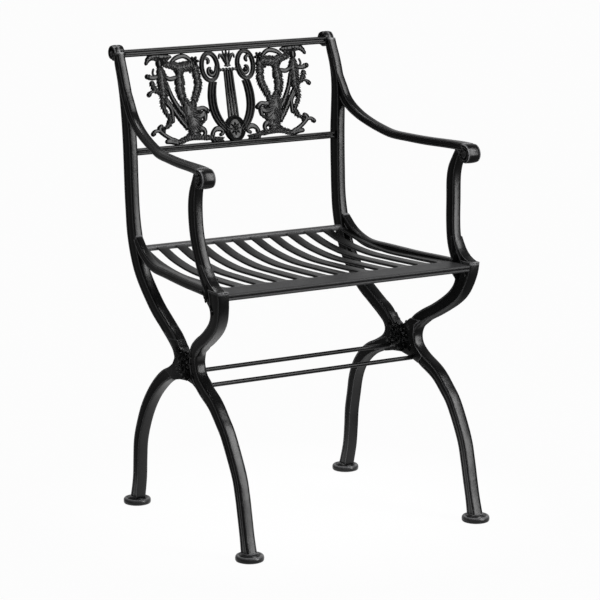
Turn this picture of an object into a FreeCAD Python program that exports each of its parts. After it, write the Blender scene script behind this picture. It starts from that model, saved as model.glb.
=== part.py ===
import FreeCAD, Part
import math
import os
from dataclasses import dataclass

# Neoclassical cast iron garden armchair, in millimetres.
# While it is drawn, y is 0 at the front block and grows to the rear, z is 0 on the floor.

# Heights and depths that place the frame
SEAT_Z = 457.0
CROSS_Y = 178.0
CROSS_Z = 296.0
LEG_BEND_Z = 145.0
FRONT_FOOT_Y = -44.0
REAR_FOOT_Y = 376.0
POST_Y = 80.0
ARM_Z = 658.0
VOLUTE_Y = 41.0
VOLUTE_Z = 647.0
UPRIGHT_Y = 398.0
SCROLL_Y = 444.0
SCROLL_Z = 816.0

# Half the distance between the two side frames, which stand apart most at the arms
FRONT_HALF_FLOOR = 233.0
FRONT_HALF_LEG = 233.0
FRONT_HALF_CROSS = 239.5
FRONT_HALF_SEAT = 259.0
FRONT_HALF_POST = 275.0
FRONT_HALF_ARM = 275.5
FRONT_HALF_CREST = 273.5
REAR_HALF_FLOOR = 224.5
REAR_HALF_LEG = 224.5
REAR_HALF_CROSS = 204.0
REAR_HALF_SEAT = 215.0
REAR_HALF_POST = 217.5
REAR_HALF_ARM = 219.0
REAR_HALF_CREST = 226.0
HALF_REAR_Y = 400.0

# Bars of the side frame: width in the side view, thickness across it
LEG_WIDTH = 21.0
LEG_THICK = 21.0
KNEE_WIDTH = 25.0
BLOCK_WIDTH = 37.0
BLOCK_RISE = 3.0
BLOCK_DROP = 23.0
POST_WIDTH = 24.5
POST_THICK = 17.0
UPRIGHT_WIDTH = 29.0
UPRIGHT_THICK = 16.0
UPRIGHT_TOP_WIDTH = 18.0
ARM_WIDTH = 13.0
ARM_THICK = 15.0
RAIL_WIDTH = 17.0
RAIL_THICK = 14.0
BAR_CHAMFER = 1.6
REAR_THINNING = 1.0

# Rolled ends, rosettes and feet
VOLUTE_RADIUS = 19.3
VOLUTE_THICK = 26.0
SCROLL_RADIUS = 16.0
SCROLL_THICK = 20.0
ROLL_RIM = 4.5
ROLL_RECESS = 1.6
WEB_THICK = 16.0
ROSETTE_RADIUS = 26.0
ROSETTE_THICK = 25.0
ROSETTE_DOME = 2.5
PAD_RADIUS = 25.0
PAD_HEIGHT = 11.0
PAD_RIM = 4.0
PAD_UNDERCUT = 1.5

# Seat
SEAT_DROP = 2.0
SEAT_THICK = 4.5
FRONT_PLATE_DEPTH = 56.0
FRONT_LIP_HEIGHT = 12.0
FRONT_LIP_DEPTH = 9.0
FRONT_LIP_GROOVE = 2.0
SLAT_COUNT = 10
SLAT_FRONT_WIDTH = 20.5
SLAT_REAR_WIDTH = 18.5
BAND_FRONT_WIDTH = 33.0
BAND_REAR_WIDTH = 16.0
GAP_END_FLAT = 1.0
SLAT_DIP = 4.0
SLAT_RISE = 21.5
REAR_RAIL_Y = 373.0
REAR_RAIL_DEPTH = 14.0
REAR_RAIL_HEIGHT = 11.0

# Back
CREST_Y = 435.0
CREST_Z = 816.0
CREST_DEPTH = 13.0
CREST_HEIGHT = 13.0
CREST_REEDS = 3
LOW_RAIL_Y = 397.0
LOW_RAIL_Z = 643.0
LOW_RAIL_DEPTH = 12.0
LOW_RAIL_HEIGHT = 12.0
LOW_RAIL_REEDS = 2
REED_BULGE = 1.6
PANEL_THICK = 6.0
PANEL_BITE = 2.0
LYRE_THICK = 8.0
MEDALLION_THICK = 10.0

# Lyre, in the plane of the back panel: u across, v up from the lower back rail
RING_U = 37.5
RING_V = 137.0
RING_HALF_U = 20.5
RING_HALF_V = 29.0
RING_BAND = 8.0
LYRE_ARM_WIDTH = 17.0
CROSSBAR_V = 128.0
CROSSBAR_WIDTH = 7.0
MEDALLION_V = 21.0
MEDALLION_HALF_U = 19.0
MEDALLION_HALF_V = 23.0
STRING_COUNT = 4
STRING_PITCH = 5.4
STRING_WIDTH = 2.6
STRING_THICK = 4.0
CREST_LEAF_HALF_U = 15.0
CREST_LEAF_V = 134.0

# Tie rods between the crossings
ROD_DIAMETER = 8.0
UPPER_ROD_BACK = 31.0
UPPER_ROD_DROP = 20.0
LOWER_ROD_FRONT = 36.0
LOWER_ROD_DROP = 31.0


@dataclass(frozen=True)
class Station:
    """One cross section on a bar's centre line: place, width in side view, thickness."""

    y: float
    z: float
    width: float
    thick: float


@dataclass(frozen=True)
class Anchor:
    """A named place in side view that the stations around it are measured from."""

    y: float
    z: float

    def at(self, back, up, width, thick):
        """Return the station that lies back and up from this place."""
        return Station(self.y + back, self.z + up, width, thick)


@dataclass(frozen=True)
class Spread:
    """Half the distance between the side frames at one height, front and rear."""

    z: float
    front: float
    rear: float


CROSS = Anchor(CROSS_Y, CROSS_Z)
BLOCK = Anchor(0.0, SEAT_Z)
POST = Anchor(POST_Y, SEAT_Z)
VOLUTE = Anchor(VOLUTE_Y, VOLUTE_Z)
UPRIGHT_FOOT = Anchor(UPRIGHT_Y, SEAT_Z)
UPRIGHT_HEAD = Anchor(UPRIGHT_Y, ARM_Z)
SCROLL = Anchor(SCROLL_Y, SCROLL_Z)
FRONT_FOOT = Anchor(FRONT_FOOT_Y, 0.0)
REAR_FOOT = Anchor(REAR_FOOT_Y, 0.0)
CREST = Anchor(CREST_Y, CREST_Z)
LOW_RAIL = Anchor(LOW_RAIL_Y, LOW_RAIL_Z)
PLATE_TOP = SEAT_Z - SEAT_DROP
REAR_RAIL = Anchor(REAR_RAIL_Y, PLATE_TOP + SLAT_RISE - REAR_RAIL_HEIGHT / 2)

SPREADS = (
    Spread(0.0, FRONT_HALF_FLOOR, REAR_HALF_FLOOR),
    Spread(LEG_BEND_Z, FRONT_HALF_LEG, REAR_HALF_LEG),
    Spread(CROSS_Z, FRONT_HALF_CROSS, REAR_HALF_CROSS),
    Spread(SEAT_Z, FRONT_HALF_SEAT, REAR_HALF_SEAT),
    Spread((SEAT_Z + ARM_Z) / 2, FRONT_HALF_POST, REAR_HALF_POST),
    Spread(ARM_Z, FRONT_HALF_ARM, REAR_HALF_ARM),
    Spread(SCROLL_Z, FRONT_HALF_CREST, REAR_HALF_CREST),
)


# Small helpers

def vec(x, y, z):
    """Return a point."""
    return FreeCAD.Vector(x, y, z)


def mix(a, b, share):
    """Blend two values."""
    return a + (b - a) * share


def fuse(shapes):
    """Join solids into one."""
    joined = shapes[0].multiFuse(shapes[1:])
    return joined.removeSplitter()


def flat_face(points):
    """A flat face inside straight edges."""
    return Part.Face(Part.makePolygon(points + points[:1]))


def round_points(centre, first, second, sides):
    """Points round an oval whose half axes are given as two vectors."""
    points = []
    for index in range(sides):
        angle = math.tau * index / sides
        points.append(centre + first * math.cos(angle) + second * math.sin(angle))
    return points


def row_slopes(values):
    """The slope at each spread row, level at the floor and at the crest."""
    slopes = [0.0]
    for below, above, start, end in zip(SPREADS, SPREADS[2:], values, values[2:]):
        slopes.append((end - start) / (above.z - below.z))
    return slopes + [0.0]


def cubic(start, end, start_slope, end_slope, share):
    """A smooth step from one value to the next that keeps both slopes."""
    near = (1 - share) ** 2
    far = share ** 2
    level = start * (1 + 2 * share) * near + end * (3 - 2 * share) * far
    return level + start_slope * share * near - end_slope * (1 - share) * far


FRONT_VALUES = [row.front for row in SPREADS]
REAR_VALUES = [row.rear for row in SPREADS]
FRONT_SLOPES = row_slopes(FRONT_VALUES)
REAR_SLOPES = row_slopes(REAR_VALUES)


def half_spread(y, z):
    """Half the distance between the side frames at a place in side view."""
    row = 0
    for index, spread in enumerate(SPREADS[:-1]):
        if z >= spread.z:
            row = index
    gap = SPREADS[row + 1].z - SPREADS[row].z
    share = min(max((z - SPREADS[row].z) / gap, 0.0), 1.0)
    ends = []
    for values, slopes in ((FRONT_VALUES, FRONT_SLOPES), (REAR_VALUES, REAR_SLOPES)):
        ends.append(cubic(values[row], values[row + 1], slopes[row] * gap, slopes[row + 1] * gap, share))
    return mix(ends[0], ends[1], y / HALF_REAR_Y)


def spline(points):
    """Return a smooth curve through the points."""
    curve = Part.BSplineCurve()
    curve.interpolate(points)
    return curve


def marks_along(curve, points, pieces):
    """Places on a curve through the points, as (parameter, span, share of the span)."""
    ends = [curve.parameter(point) for point in points]
    marks = []
    for span, (first, last) in enumerate(zip(ends, ends[1:])):
        for step in range(pieces):
            share = step / pieces
            marks.append((mix(first, last, share), span, share))
    marks.append((ends[-1], len(ends) - 2, 1.0))
    return marks


# Bars of the side frame

def bar_section(place, across, width, thick):
    """An eight-sided section with chamfered corners, square to a bar."""
    half_w = width / 2
    half_t = thick / 2
    cut = min(BAR_CHAMFER, half_w / 2, half_t / 2)
    corners = (
        (half_w - cut, half_t),
        (half_w, half_t - cut),
        (half_w, cut - half_t),
        (half_w - cut, -half_t),
        (cut - half_w, -half_t),
        (-half_w, cut - half_t),
        (-half_w, half_t - cut),
        (cut - half_w, half_t),
    )
    outward = vec(1, 0, 0)
    points = [place + across * w + outward * t for w, t in corners]
    return Part.makePolygon(points + points[:1])


def bar_sections(stations, pieces):
    """Sections along a smooth centre line, with widths eased between stations."""
    points = [vec(0, station.y, station.z) for station in stations]
    curve = spline(points)
    wires = []
    for mark, span, share in marks_along(curve, points, pieces):
        before = stations[span]
        after = stations[span + 1]
        place = curve.value(mark)
        along = curve.tangent(mark)[0]
        across = vec(0, along.z, -along.y)
        centre = vec(half_spread(place.y, place.z), place.y, place.z)
        width = mix(before.width, after.width, share)
        thick = mix(before.thick, after.thick, share)
        wires.append(bar_section(centre, across, width, thick))
    return wires


def bar(stations, pieces=1):
    """A solid bar that follows the stations on the right-hand frame."""
    return Part.makeLoft(bar_sections(stations, pieces), True, True)


def upright_bar():
    """The back upright, which sweeps under the seat to the crossing."""
    thick = UPRIGHT_THICK
    leg = LEG_THICK - REAR_THINNING
    return bar([
        SCROLL.at(-14, 3, UPRIGHT_TOP_WIDTH - 4, thick),
        SCROLL.at(-19, -14, UPRIGHT_TOP_WIDTH, thick),
        SCROLL.at(-31, -43, UPRIGHT_TOP_WIDTH + 2, thick),
        SCROLL.at(-40, -76, UPRIGHT_TOP_WIDTH + 6, thick),
        UPRIGHT_HEAD.at(2, 45, UPRIGHT_WIDTH - 2, thick),
        UPRIGHT_HEAD.at(0, -13, UPRIGHT_WIDTH, thick),
        UPRIGHT_FOOT.at(-2, 130, UPRIGHT_WIDTH, thick),
        UPRIGHT_FOOT.at(-5, 80, UPRIGHT_WIDTH, thick),
        UPRIGHT_FOOT.at(-11, 42, UPRIGHT_WIDTH + 1, thick + 1),
        UPRIGHT_FOOT.at(-24, 2, UPRIGHT_WIDTH, thick + 2),
        UPRIGHT_FOOT.at(-45, -34, UPRIGHT_WIDTH - 2, leg - 1),
        UPRIGHT_FOOT.at(-90, -77, KNEE_WIDTH + 0.5, leg),
        CROSS.at(91, 60, KNEE_WIDTH, leg),
        CROSS.at(53, 40, KNEE_WIDTH, leg),
        CROSS.at(22, 12, KNEE_WIDTH, leg),
        CROSS.at(-5, -13, KNEE_WIDTH, leg),
    ])


def front_leg():
    """The lower front leg, from the crossing down to its foot."""
    return bar([
        CROSS.at(14, 14, KNEE_WIDTH - 1, LEG_THICK),
        CROSS.at(-21, -11, KNEE_WIDTH - 1, LEG_THICK),
        CROSS.at(-62, -28, KNEE_WIDTH - 1.5, LEG_THICK),
        CROSS.at(-102, -48, LEG_WIDTH + 1.5, LEG_THICK),
        CROSS.at(-130, -72, LEG_WIDTH + 0.5, LEG_THICK),
        CROSS.at(-153, -97, LEG_WIDTH, LEG_THICK),
        FRONT_FOOT.at(37, 144, LEG_WIDTH - 1, LEG_THICK),
        FRONT_FOOT.at(25, 107, LEG_WIDTH - 1.5, LEG_THICK),
        FRONT_FOOT.at(17, 73, LEG_WIDTH - 2, LEG_THICK),
        FRONT_FOOT.at(9, 39, LEG_WIDTH - 2, LEG_THICK),
        FRONT_FOOT.at(1, 5, LEG_WIDTH + 3, LEG_THICK),
    ])


def front_arm_of_cross():
    """The upper front arm of the crossing, which ends under the stepped block."""
    thick = LEG_THICK
    return bar([
        BLOCK.at(19, -7, BLOCK_WIDTH, thick),
        BLOCK.at(21, -21, BLOCK_WIDTH - 1, thick),
        BLOCK.at(25, -37, BLOCK_WIDTH - 4, thick),
        BLOCK.at(32, -52, KNEE_WIDTH + 4, thick),
        BLOCK.at(46, -67, KNEE_WIDTH + 1, thick),
        BLOCK.at(67, -82, KNEE_WIDTH - 1, thick),
        BLOCK.at(90, -96, KNEE_WIDTH - 2, thick),
        CROSS.at(-60, 49, KNEE_WIDTH - 2, thick),
        CROSS.at(-38, 33, KNEE_WIDTH, thick),
        CROSS.at(-19, 12, KNEE_WIDTH, thick),
        CROSS.at(5, -14, KNEE_WIDTH, thick),
    ])


def rear_leg():
    """The lower rear leg, from the crossing down to its foot."""
    thick = LEG_THICK - REAR_THINNING
    return bar([
        CROSS.at(-8, 13, KNEE_WIDTH - 1, thick),
        CROSS.at(25, -9, KNEE_WIDTH - 1, thick),
        CROSS.at(61, -23, KNEE_WIDTH - 1, thick),
        CROSS.at(93, -38, KNEE_WIDTH - 1, thick),
        CROSS.at(118, -56, LEG_WIDTH + 2.5, thick),
        CROSS.at(140, -79, LEG_WIDTH + 1.5, thick),
        CROSS.at(157, -107, LEG_WIDTH + 1.5, thick),
        REAR_FOOT.at(-29, 156, LEG_WIDTH + 0.5, thick),
        REAR_FOOT.at(-20, 123, LEG_WIDTH + 0.5, thick),
        REAR_FOOT.at(-17, 89, LEG_WIDTH, thick),
        REAR_FOOT.at(-14, 55, LEG_WIDTH, thick),
        REAR_FOOT.at(-7, 25, LEG_WIDTH + 1, thick),
        REAR_FOOT.at(-1, 5, LEG_WIDTH + 3, thick),
    ])


def arm_post():
    """The S-curved post that carries the arm."""
    thick = POST_THICK
    return bar([
        VOLUTE.at(20, 6, POST_WIDTH - 8, thick),
        VOLUTE.at(29, -11, POST_WIDTH - 6, thick),
        POST.at(-2, 160, POST_WIDTH - 2, thick),
        POST.at(1, 138, POST_WIDTH, thick),
        POST.at(0, 108, POST_WIDTH, thick),
        POST.at(-3, 78, POST_WIDTH, thick),
        POST.at(-9, 50, POST_WIDTH, thick),
        POST.at(-17, 29, POST_WIDTH + 1.5, thick),
        POST.at(-30, 9, POST_WIDTH + 3, thick + 1),
        POST.at(-46, -11, POST_WIDTH + 5, thick + 2),
        POST.at(-58, -29, POST_WIDTH + 4, thick + 2),
    ])


def arm_rest():
    """The arm, which leaves the upright in a hollow curve and runs level to its volute."""
    thick = ARM_THICK
    return bar([
        SCROLL.at(-37, -58, ARM_WIDTH + 3, thick),
        UPRIGHT_HEAD.at(-8, 76, ARM_WIDTH + 5, thick),
        UPRIGHT_HEAD.at(-21, 54, ARM_WIDTH + 5, thick),
        UPRIGHT_HEAD.at(-39, 40, ARM_WIDTH + 3, thick),
        UPRIGHT_HEAD.at(-65, 27, ARM_WIDTH + 1, thick),
        UPRIGHT_HEAD.at(-94, 17, ARM_WIDTH, thick),
        UPRIGHT_HEAD.at(-124, 9, ARM_WIDTH, thick),
        UPRIGHT_HEAD.at(-156, 3, ARM_WIDTH, thick),
        UPRIGHT_HEAD.at(-201, 1.5, ARM_WIDTH, thick),
        VOLUTE.at(109, 12, ARM_WIDTH + 0.5, thick),
        VOLUTE.at(59, 13, ARM_WIDTH + 0.5, thick + 1),
        VOLUTE.at(28, 13, ARM_WIDTH + 0.5, thick + 3),
        VOLUTE.at(4, VOLUTE_RADIUS - ARM_WIDTH / 2, ARM_WIDTH, thick + 5),
    ])


def side_rail():
    """The seat's side rail, level in front and curved up into the upright."""
    return bar([
        BLOCK.at(28, -7, RAIL_WIDTH, RAIL_THICK),
        BLOCK.at(90, -7, RAIL_WIDTH, RAIL_THICK),
        BLOCK.at(160, -8, RAIL_WIDTH, RAIL_THICK),
        UPRIGHT_FOOT.at(-161, -7, RAIL_WIDTH, RAIL_THICK),
        UPRIGHT_FOOT.at(-106, -6, RAIL_WIDTH, RAIL_THICK),
        UPRIGHT_FOOT.at(-73, 2, RAIL_WIDTH, RAIL_THICK),
        UPRIGHT_FOOT.at(-48, 15, RAIL_WIDTH, RAIL_THICK),
        UPRIGHT_FOOT.at(-26, 35, RAIL_WIDTH - 2, RAIL_THICK),
    ])


def seat_block():
    """The block at the front of the seat, which leans with the frame."""
    wires = []
    for z in (SEAT_Z - BLOCK_DROP, SEAT_Z + BLOCK_RISE):
        inner = half_spread(BLOCK_WIDTH / 2, z) - LEG_THICK / 2
        outer = inner + LEG_THICK
        points = [
            vec(inner, 0, z),
            vec(outer, 0, z),
            vec(outer, BLOCK_WIDTH, z),
            vec(inner, BLOCK_WIDTH, z),
        ]
        wires.append(Part.makePolygon(points + points[:1]))
    return Part.makeLoft(wires, True, True)


def crossing_web():
    """The web that fills the crossing between its two waists, its notch and its arch."""
    half = half_spread(CROSS.y, CROSS.z)

    def place(back, up):
        return vec(half - WEB_THICK / 2, CROSS.y + back, CROSS.z + up)

    front_waist = Part.Arc(place(-62, 43), place(-45, 12), place(-72, -22)).toShape()
    into_arch = Part.makeLine(place(-72, -22), place(-58, -38))
    arch = Part.Arc(place(-58, -38), place(-4, -27), place(50, -36)).toShape()
    out_of_arch = Part.makeLine(place(50, -36), place(75, -22))
    rear_waist = Part.Arc(place(75, -22), place(44, 9), place(62, 38)).toShape()
    to_notch = Part.makeLine(place(62, 38), place(32, 40))
    notch = Part.Arc(place(32, 40), place(10, 24), place(-32, 43)).toShape()
    close = Part.makeLine(place(-32, 43), place(-62, 43))
    edges = [front_waist, into_arch, arch, out_of_arch, rear_waist, to_notch, notch, close]
    return Part.Face(Part.Wire(edges)).extrude(vec(WEB_THICK, 0, 0))


def turned(place, profile):
    """A solid turned about a line across the chair, from (offset, radius) points."""
    centre = vec(half_spread(place.y, place.z), place.y, place.z)
    points = [centre + vec(offset, radius, 0) for offset, radius in profile]
    return flat_face(points).revolve(centre, vec(1, 0, 0), 360)


def both_sides(side):
    """A turned profile that is the same on both faces of the frame."""
    return side + [(-offset, reach) for offset, reach in reversed(side)]


def roll(place, radius, thick):
    """A rolled end with a rim round a sunk face on each side."""
    half = thick / 2
    return turned(place, both_sides([
        (half - ROLL_RECESS, 0.0),
        (half - ROLL_RECESS, radius - ROLL_RIM),
        (half, radius - ROLL_RIM),
        (half, radius),
    ]))


def rosette():
    """The round flower boss at the crossing, domed on both faces."""
    half = ROSETTE_THICK / 2
    return turned(CROSS, both_sides([
        (half + ROSETTE_DOME, 0.0),
        (half - ROSETTE_DOME, ROSETTE_RADIUS),
    ]))


def foot_pad(foot):
    """A round foot with a bulging rim."""
    profile = [
        (0.0, 0.0),
        (PAD_RADIUS - PAD_UNDERCUT, 0.0),
        (PAD_RADIUS, PAD_HEIGHT / 2),
        (PAD_RADIUS - PAD_RIM, PAD_HEIGHT),
        (0.0, PAD_HEIGHT),
    ]
    centre = vec(half_spread(foot.y, 0.0), foot.y, 0.0)
    points = [centre + vec(reach, 0, height) for reach, height in profile]
    return flat_face(points).revolve(centre, vec(0, 0, 1), 360)


def side_frame():
    """The right-hand side frame, one casting."""
    return fuse([
        upright_bar(),
        front_leg(),
        front_arm_of_cross(),
        rear_leg(),
        arm_post(),
        arm_rest(),
        side_rail(),
        seat_block(),
        crossing_web(),
        rosette(),
        roll(VOLUTE, VOLUTE_RADIUS, VOLUTE_THICK),
        roll(SCROLL, SCROLL_RADIUS, SCROLL_THICK),
        foot_pad(FRONT_FOOT),
        foot_pad(REAR_FOOT),
    ])


# Rails, rods and seat, each cut to the frames that it meets

def between_frames(face, z, front, rear):
    """Run a side-view face across the chair, up to the middle planes of the frames."""
    start = half_spread(front, z)
    end = half_spread(rear, z)
    reach = max(start, end)
    face.translate(vec(-reach, 0, 0))
    across = face.extrude(vec(2 * reach, 0, 0))
    low = across.BoundBox.ZMin - 1
    plan = flat_face([
        vec(-start, front, low),
        vec(start, front, low),
        vec(end, rear, low),
        vec(-end, rear, low),
    ])
    return across.common(plan.extrude(vec(0, 0, across.BoundBox.ZLength + 2)))


def reeded_face(centre, depth, height, reeds):
    """A side-view outline whose front and rear bulge in a row of reeds."""
    pitch = height / reeds
    points = []
    for side in (-1, 1):
        for index in range(reeds):
            start = side * (height / 2 - index * pitch)
            for share, bulge in ((0.0, 0.0), (0.3, REED_BULGE), (0.7, REED_BULGE)):
                reach = depth / 2 - REED_BULGE + bulge
                points.append(vec(0, centre.y + side * reach, centre.z + start - side * share * pitch))
        points.append(vec(0, centre.y + side * (depth / 2 - REED_BULGE), centre.z - side * height / 2))
    return flat_face(points)


def straight_rail(centre, depth, height, reeds, frames):
    """A reeded rail between the frames."""
    outline = reeded_face(centre, depth, height, reeds)
    front = centre.y - depth / 2
    return between_frames(outline, centre.z, front, front + depth).cut(frames)


def seat_front_rail(frames):
    """The wide front plate with its grooved lip."""
    half_lip = FRONT_LIP_HEIGHT / 2
    outline = [
        (0.0, PLATE_TOP - 1),
        (1.0, PLATE_TOP),
        (FRONT_PLATE_DEPTH, PLATE_TOP),
        (FRONT_PLATE_DEPTH, PLATE_TOP - SEAT_THICK),
        (FRONT_LIP_DEPTH, PLATE_TOP - SEAT_THICK),
        (FRONT_LIP_DEPTH - 2, PLATE_TOP - FRONT_LIP_HEIGHT),
        (FRONT_LIP_GROOVE, PLATE_TOP - FRONT_LIP_HEIGHT),
        (FRONT_LIP_GROOVE - 1, PLATE_TOP - half_lip - 2),
        (FRONT_LIP_GROOVE + 1, PLATE_TOP - half_lip),
        (0.0, PLATE_TOP - half_lip + 2),
    ]
    face = flat_face([vec(0, BLOCK.y + y, z) for y, z in outline])
    return between_frames(face, SEAT_Z, BLOCK.y, BLOCK.y + FRONT_PLATE_DEPTH).cut(frames)


def seat_rear_rail(frames):
    """The rounded rail that carries the rear ends of the slats."""
    half_depth = REAR_RAIL_DEPTH / 2
    half_height = REAR_RAIL_HEIGHT / 2

    def place(back, up):
        return vec(0, REAR_RAIL.y + back * half_depth, REAR_RAIL.z + up * half_height)

    edges = [
        Part.makeLine(place(-1, -1), place(-1, 0.3)),
        Part.Arc(place(-1, 0.3), place(0, 1), place(1, 0.3)).toShape(),
        Part.makeLine(place(1, 0.3), place(1, -1)),
        Part.makeLine(place(1, -1), place(-1, -1)),
    ]
    front = REAR_RAIL.y - half_depth
    rail = between_frames(Part.Face(Part.Wire(edges)), REAR_RAIL.z, front, front + REAR_RAIL_DEPTH)
    return rail.cut(frames)


SLAT_START_Y = FRONT_PLATE_DEPTH
SLAT_END_Y = REAR_RAIL.y - REAR_RAIL_DEPTH / 2
SLAT_END_Z = PLATE_TOP + SLAT_RISE - REAR_RAIL_HEIGHT * 0.35


def seat_line():
    """Places along the top of the slats, from the front plate to the rear rail."""
    return [
        Anchor(SLAT_START_Y, PLATE_TOP),
        Anchor(mix(SLAT_START_Y, SLAT_END_Y, 0.28), PLATE_TOP - SLAT_DIP * 0.75),
        Anchor(mix(SLAT_START_Y, SLAT_END_Y, 0.55), PLATE_TOP - SLAT_DIP),
        Anchor(mix(SLAT_START_Y, SLAT_END_Y, 0.8), mix(PLATE_TOP, SLAT_END_Z, 0.2)),
        Anchor(SLAT_END_Y, SLAT_END_Z),
    ]


def band_inner(reach):
    """The inner edge of a side band at the front plate, at the rear rail or between them."""
    front = half_spread(SLAT_START_Y, PLATE_TOP) - BAND_FRONT_WIDTH
    rear = half_spread(SLAT_END_Y, SLAT_END_Z) - BAND_REAR_WIDTH
    return mix(front, rear, reach)


def slat_width(reach):
    """A slat's width at a share of its length."""
    return mix(SLAT_FRONT_WIDTH, SLAT_REAR_WIDTH, reach)


def slat_gap(reach):
    """The even gap that is left between the slats and beside the bands."""
    return (2 * band_inner(reach) - SLAT_COUNT * slat_width(reach)) / (SLAT_COUNT + 1)


def gap_end_flare(y):
    """How far an edge swells into its gap, so that each gap starts round at the plate."""
    radius = slat_gap(0.0) / 2 - GAP_END_FLAT
    ahead = max(SLAT_START_Y + radius - y, 0.0)
    return radius - math.sqrt(max(radius ** 2 - ahead ** 2, 0.0))


def strip(edges_at):
    """A thin strip along the seat line, between two x places given for each share."""
    curve = spline([vec(0, place.y, place.z) for place in seat_line()])
    first = curve.FirstParameter
    last = curve.LastParameter
    wires = []
    for share in (0.0, 0.004, 0.012, 0.03, 0.15, 0.3, 0.45, 0.6, 0.75, 0.88, 1.0):
        point = curve.value(mix(first, last, share))
        reach = (point.y - SLAT_START_Y) / (SLAT_END_Y - SLAT_START_Y)
        left, right = edges_at(reach, point)
        low = point.z - SEAT_THICK
        corners = [
            vec(left, point.y, point.z),
            vec(right, point.y, point.z),
            vec(right, point.y, low),
            vec(left, point.y, low),
        ]
        wires.append(Part.makePolygon(corners + corners[:1]))
    return Part.makeLoft(wires, True, True)


def seat_slat(number):
    """One slat, counted from the left."""

    def edges(reach, point):
        pitch = slat_width(reach) + slat_gap(reach)
        centre = (number - (SLAT_COUNT - 1) / 2) * pitch
        half = slat_width(reach) / 2 + gap_end_flare(point.y)
        return centre - half, centre + half

    return strip(edges)


def seat_band(frames):
    """The flat band along the right-hand side rail, which narrows to the rear."""

    def edges(reach, point):
        return band_inner(reach) - gap_end_flare(point.y), half_spread(point.y, point.z)

    return strip(edges).cut(frames)


def tie_rod(frames, back, drop):
    """A round rod between the crossings."""
    place = Anchor(CROSS.y + back, CROSS.z - drop)
    radius = ROD_DIAMETER / 2
    outline = Part.Face(Part.Wire(Part.makeCircle(radius, vec(0, place.y, place.z), vec(1, 0, 0))))
    return between_frames(outline, place.z, place.y - radius, place.y + radius).cut(frames)


# Openwork back panel, drawn flat and leaned back between its two rails

PANEL_FOOT_Z = LOW_RAIL.z + LOW_RAIL_HEIGHT / 2
PANEL_TOP_Z = CREST.z - CREST_HEIGHT / 2
PANEL_HEIGHT = math.hypot(CREST.y - LOW_RAIL.y, PANEL_TOP_Z - PANEL_FOOT_Z)
PANEL_LEAN = math.degrees(math.atan2(CREST.y - LOW_RAIL.y, PANEL_TOP_Z - PANEL_FOOT_Z))


def lean(shape):
    """Stand a flat drawing up between the rails."""
    shape.rotate(vec(0, 0, 0), vec(1, 0, 0), 90 - PANEL_LEAN)
    shape.translate(vec(0, LOW_RAIL.y, PANEL_FOOT_Z))
    return shape


def stroke(stations):
    """A flat scroll line through (u, v, width) stations."""
    points = [vec(u, v, 0) for u, v, width in stations]
    curve = spline(points)
    left = []
    right = []
    for mark, span, share in marks_along(curve, points, 2):
        width = mix(stations[span][2], stations[span + 1][2], share)
        along = curve.tangent(mark)[0]
        out = vec(-along.y, along.x, 0) * (width / 2)
        left.append(curve.value(mark) + out)
        right.append(curve.value(mark) - out)
    return flat_face(left + right[::-1])


def oval(u, v, half_u, half_v, sides=12):
    """A flat oval."""
    return flat_face(round_points(vec(u, v, 0), vec(half_u, 0, 0), vec(0, half_v, 0), sides))


def plate(faces, thick):
    """Join flat faces and give them thickness about the panel's middle plane."""
    solids = []
    for face in faces:
        face.translate(vec(0, 0, -thick / 2))
        solids.append(face.extrude(vec(0, 0, thick)))
    return lean(fuse(solids))


def mirrored(shape):
    """The same shape on the other side of the chair."""
    return shape.mirror(vec(0, 0, 0), vec(1, 0, 0))


def lyre_ring():
    """The rolled upper end of one lyre arm, with the curl inside it."""
    ring = oval(RING_U, RING_V, RING_HALF_U, RING_HALF_V, 24)
    hole = oval(RING_U, RING_V, RING_HALF_U - RING_BAND, RING_HALF_V - RING_BAND, 20)
    curl = stroke([
        (RING_U - 11, RING_V + 16, 6),
        (RING_U - 3, RING_V + 8, 6),
        (RING_U + 4, RING_V - 2, 7),
        (RING_U - 2, RING_V - 10, 6),
        (RING_U - 8, RING_V - 5, 4),
    ])
    return [ring.cut(hole), curl]


def lyre_arm():
    """One arm of the lyre, from its ring to the medallion."""
    return stroke([
        (RING_U - 4, RING_V - RING_HALF_V + 2, LYRE_ARM_WIDTH - 2),
        (RING_U + 2, CROSSBAR_V - 57, LYRE_ARM_WIDTH),
        (RING_U - 9, MEDALLION_V + 14, LYRE_ARM_WIDTH - 2),
        (MEDALLION_HALF_U - 6, MEDALLION_V - 6, LYRE_ARM_WIDTH - 6),
    ])


def lyre(rails, medallion):
    """The lyre's two arms, rings, crossbar and crowning leaf."""
    arms = plate(lyre_ring() + [lyre_arm()], LYRE_THICK)
    bar_half = RING_U - RING_HALF_U + 3
    crossbar = Part.makePlane(2 * bar_half, CROSSBAR_WIDTH,
                              vec(-bar_half, CROSSBAR_V - CROSSBAR_WIDTH / 2, 0))
    stem = stroke([
        (0, CROSSBAR_V, 6),
        (0, CREST_LEAF_V + 10, 5),
        (0, PANEL_HEIGHT + PANEL_BITE, 9),
    ])
    leaf = stroke([
        (0, CREST_LEAF_V + 8, 4),
        (CREST_LEAF_HALF_U - 9, PANEL_HEIGHT - 12, 6),
        (CREST_LEAF_HALF_U - 1, PANEL_HEIGHT - 5, 3),
    ])
    crown = plate([crossbar, stem, leaf, mirrored(leaf)], PANEL_THICK)
    return fuse([arms, mirrored(arms), crown]).cut(rails + [medallion])


def lyre_medallion(rails):
    """The oval boss at the foot of the lyre."""
    rim = oval(0, MEDALLION_V, MEDALLION_HALF_U, MEDALLION_HALF_V, 28)
    return plate([rim], MEDALLION_THICK).cut(rails)


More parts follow.
